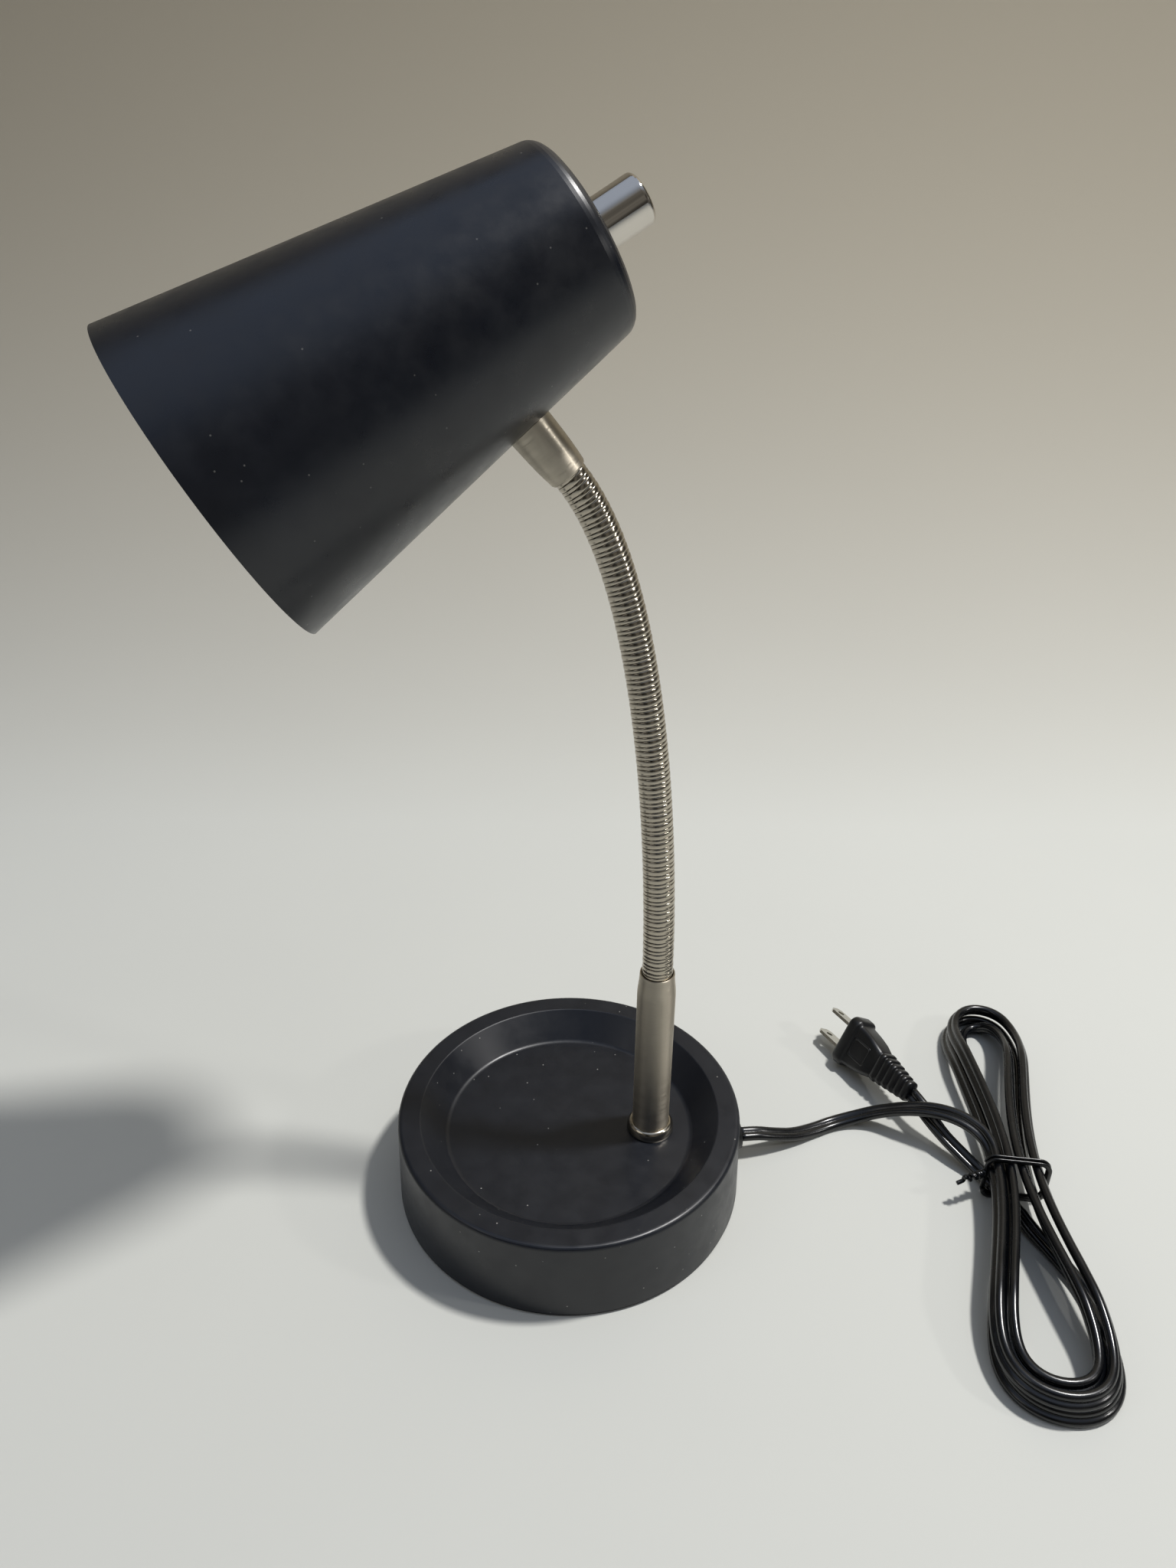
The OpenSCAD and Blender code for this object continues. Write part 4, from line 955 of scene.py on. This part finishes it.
class DESKLAMP_OT_lampholder(bpy.types.Operator):
    """Finishes the lampholder, its contact and screw shell, the switch's fixings and the leads"""
    bl_idname = "desk_lamp.lampholder"
    bl_label = "Lampholder"

    def execute(self, context):
        for name in ("lampholder", "switch_housing"):
            shaded_node(name, moulded_phenolic())
        for name in ("centre_contact", "terminal_screws", "switch_bush"):
            shaded_node(name, plain_brass())
        shaded_node("head_leads", lead_vinyl())
        shell_metal = plated_metal("drawn_aluminium", linear("#c9c8c4"), 0.27, 0.4 * MM, 0.003 * MM)
        shaded_node("screw_shell", shell_metal)
        return {"FINISHED"}


class DESKLAMP_OT_knob(bpy.types.Operator):
    """Plates the turn knob"""
    bl_idname = "desk_lamp.knob"
    bl_label = "Knob"

    def execute(self, context):
        shaded_node("knob", bright_chrome(), 20)
        return {"FINISHED"}


# Post and base
class DESKLAMP_OT_post(bpy.types.Operator):
    """Plates the post and its foot ring, and finishes the fixings inside"""
    bl_idname = "desk_lamp.post"
    bl_label = "Post"

    def execute(self, context):
        shaded_node("post_tube", brushed_nickel("brushed_nickel_plate_post", UP))
        shaded_node("post_flange", polished_nickel(), 20)
        low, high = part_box("post_flange")
        middle = (low + high) / 2
        ring_r, ring_h = (high.x - low.x) / 2, high.z - low.z
        tube_r = POST_R + RING_GAP
        bead = [(tube_r + (ring_r - tube_r) * math.cos(math.radians(a)),
                 RING_FOOT + (ring_h - RING_FOOT) * math.sin(math.radians(a)))
                for a in range(0, 91, 9)]
        ring = lathe("post_foot_ring", [(tube_r, 0), (ring_r, 0)] + bead,
                     Matrix.Translation((middle.x, middle.y, low.z)), polished_nickel(), close=True)
        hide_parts("post_flange")
        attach(ring, "base")
        for name in ("post_plug", "post_washer", "post_nut"):
            shaded_node(name, zinc_plate())
        shaded_node("post_nipple", plain_brass())
        shaded_node("post_leads", lead_vinyl())
        return {"FINISHED"}


class DESKLAMP_OT_base(bpy.types.Operator):
    """Enamels the tray base and finishes its weight, plate, screws, pad and cord bushing"""
    bl_idname = "desk_lamp.base"
    bl_label = "Base"

    def execute(self, context):
        colour = tuple(context.scene.desk_lamp_colours.enamel)
        enamel = dusted_enamel("satin_black_enamel_base", colour, 0.4, 0.37)
        shaded_node("base_shell", enamel)
        # The pressed fold between the tray's floor and its slope is a tight round, not an edge.
        turn = math.degrees(math.atan2(TRAY_DEPTH, TRAY_SLOPE_W))
        reach = FOLD_R * math.tan(math.radians(turn / 2))
        centre = (TRAY_FLOOR_R - reach, TRAY_FLOOR_Z + FOLD_R + FOLD_LIFT)
        fold = lathe("tray_fold_round", arc(centre, FOLD_R, -90, turn - 90), Matrix(), enamel)
        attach(fold, "base")
        foam = rough_part("closed_cell_foam", "#1c1c1d", 0.9, 1.2 * MM, 0.08 * MM)
        shaded_node("foot_pad", foam)
        for name in ("bottom_plate", "plate_screws"):
            shaded_node(name, zinc_plate())
        iron = rough_part("sand_cast_iron", "#39393b", 0.75, 2 * MM, 0.15 * MM, 0.6)
        shaded_node("base_weight", iron)
        for name in ("cord_bushing", "cord_inner"):
            shaded_node(name, moulded_vinyl())
        shaded_node("wire_caps", rough_part("grey_nylon", "#6b6d70", 0.4, 3 * MM, 0.02 * MM))
        return {"FINISHED"}


# Stage
class DESKLAMP_OT_stage(bpy.types.Operator):
    """Makes the camera, the soft lamps and the paper sweep"""
    bl_idname = "desk_lamp.stage"
    bl_label = "Stage"

    def execute(self, context):
        scene = context.scene
        scene.view_settings.view_transform = "Standard"
        way = Vector((0, math.cos(CAMERA_DOWN), -math.sin(CAMERA_DOWN)))
        side = way.cross(UP).normalized()
        rise = side.cross(way)
        c, s = math.cos(CAMERA_ROLL), math.sin(CAMERA_ROLL)
        data = bpy.data.cameras.new("camera")
        data.lens = CAMERA_LENS
        data.sensor_width = 36
        data.clip_start, data.clip_end = 0.01, 20
        camera = bpy.data.objects.new("camera", data)
        scene.collection.objects.link(camera)
        camera.matrix_world = axes_matrix(side * c + rise * s, rise * c - side * s, -way, CAMERA_AT)
        scene.camera = camera
        for lamp in LAMPS:
            self.lamp(*lamp)
        scene.world = self.room()
        profile = [(SWEEP_FRONT_Y, 0), (SWEEP_BEND_Y, 0)]
        profile += arc((SWEEP_BEND_Y, SWEEP_BEND_R), SWEEP_BEND_R, 270, 360, 24)[1:]
        profile += [(SWEEP_BACK_Y, SWEEP_TOP_Z)]
        points = [(x, y, z) for y, z in profile for x in (-SWEEP_HALF_WIDE, SWEEP_HALF_WIDE)]
        faces = [(2 * i, 2 * i + 1, 2 * i + 3, 2 * i + 2) for i in range(len(profile) - 1)]
        make_object("paper_sweep", points, faces, paper_sweep())
        return {"FINISHED"}

    def room(self):
        """A bright ceiling over darker walls, with upright bands that the metals pick up."""
        world = bpy.data.worlds.new("soft_room")
        world.use_nodes = True
        tree = world.node_tree
        place = add_node(tree, "ShaderNodeTexCoord")
        height = add_node(tree, "ShaderNodeSeparateXYZ", {"Vector": place.outputs["Generated"]})
        upright = add_node(tree, "ShaderNodeMapping", {
            "Vector": place.outputs["Generated"], "Scale": ROOM_BANDS})
        bands = add_node(tree, "ShaderNodeTexNoise", {
            "Vector": upright.outputs["Vector"], "Scale": 1.0, "Detail": 2.0})
        walls = add_node(tree, "ShaderNodeMix", {
            "Factor": set_range(tree, bands.outputs["Fac"], -0.3, 1.3),
            MIX_A: linear(ROOM_DARK), MIX_B: linear(ROOM_LIGHT)}, data_type="RGBA")
        over = add_node(tree, "ShaderNodeMapRange", {
            "Value": height.outputs["Z"], "From Min": CEILING_FROM, "From Max": CEILING_FULL},
            interpolation_type="SMOOTHSTEP")
        whole = add_node(tree, "ShaderNodeMix", {
            "Factor": over.outputs["Result"], MIX_A: walls.outputs[MIX_OUT],
            MIX_B: linear(ROOM_CEILING)}, data_type="RGBA")
        background = tree.nodes["Background"]
        tree.links.new(whole.outputs[MIX_OUT], background.inputs["Color"])
        background.inputs["Strength"].default_value = ROOM_STRENGTH
        return world

    def lamp(self, name, at, to, size, power):
        """A round soft lamp at a place, turned towards another."""
        data = bpy.data.lights.new(name, "AREA")
        data.shape = "DISK"
        data.size = size
        data.energy = power
        data.color = linear(LAMP_COLOUR)[:3]
        lamp = bpy.data.objects.new(name, data)
        bpy.context.scene.collection.objects.link(lamp)
        lamp.location = at
        lamp.rotation_euler = (Vector(to) - Vector(at)).to_track_quat("-Z", "Y").to_euler()


OPERATORS = (
    DESKLAMP_OT_stage, DESKLAMP_OT_plug, DESKLAMP_OT_cord_tie, DESKLAMP_OT_cord,
    DESKLAMP_OT_gooseneck, DESKLAMP_OT_shade, DESKLAMP_OT_sleeve, DESKLAMP_OT_lampholder,
    DESKLAMP_OT_knob, DESKLAMP_OT_post, DESKLAMP_OT_base)


class DESKLAMP_PT_panel(bpy.types.Panel):
    """Lists the lamp's sizes, colours and pieces"""
    bl_idname = "DESKLAMP_PT_panel"
    bl_label = "Desk Lamp"
    bl_space_type = "VIEW_3D"
    bl_region_type = "UI"
    bl_category = "Desk Lamp"

    def draw(self, context):
        for group in (context.scene.desk_lamp_sizes, context.scene.desk_lamp_colours):
            for name in group.__annotations__:
                self.layout.prop(group, name)
        for operator in OPERATORS:
            self.layout.operator(operator.bl_idname)


CLASSES = (DeskLampColours, DeskLampSizes) + OPERATORS + (DESKLAMP_PT_panel,)


def register():
    """Registers the classes and the scene's properties."""
    for cls in CLASSES:
        bpy.utils.register_class(cls)
    bpy.types.Scene.desk_lamp_colours = bpy.props.PointerProperty(type=DeskLampColours)
    bpy.types.Scene.desk_lamp_sizes = bpy.props.PointerProperty(type=DeskLampSizes)


def unregister():
    """Takes back what register() adds."""
    del bpy.types.Scene.desk_lamp_sizes
    del bpy.types.Scene.desk_lamp_colours
    for cls in reversed(CLASSES):
        bpy.utils.unregister_class(cls)


def main():
    """Makes every piece in order."""
    register()
    for operator in OPERATORS:
        group, name = operator.bl_idname.split(".")
        getattr(getattr(bpy.ops, group), name)()


if __name__ == "__main__":
    main()
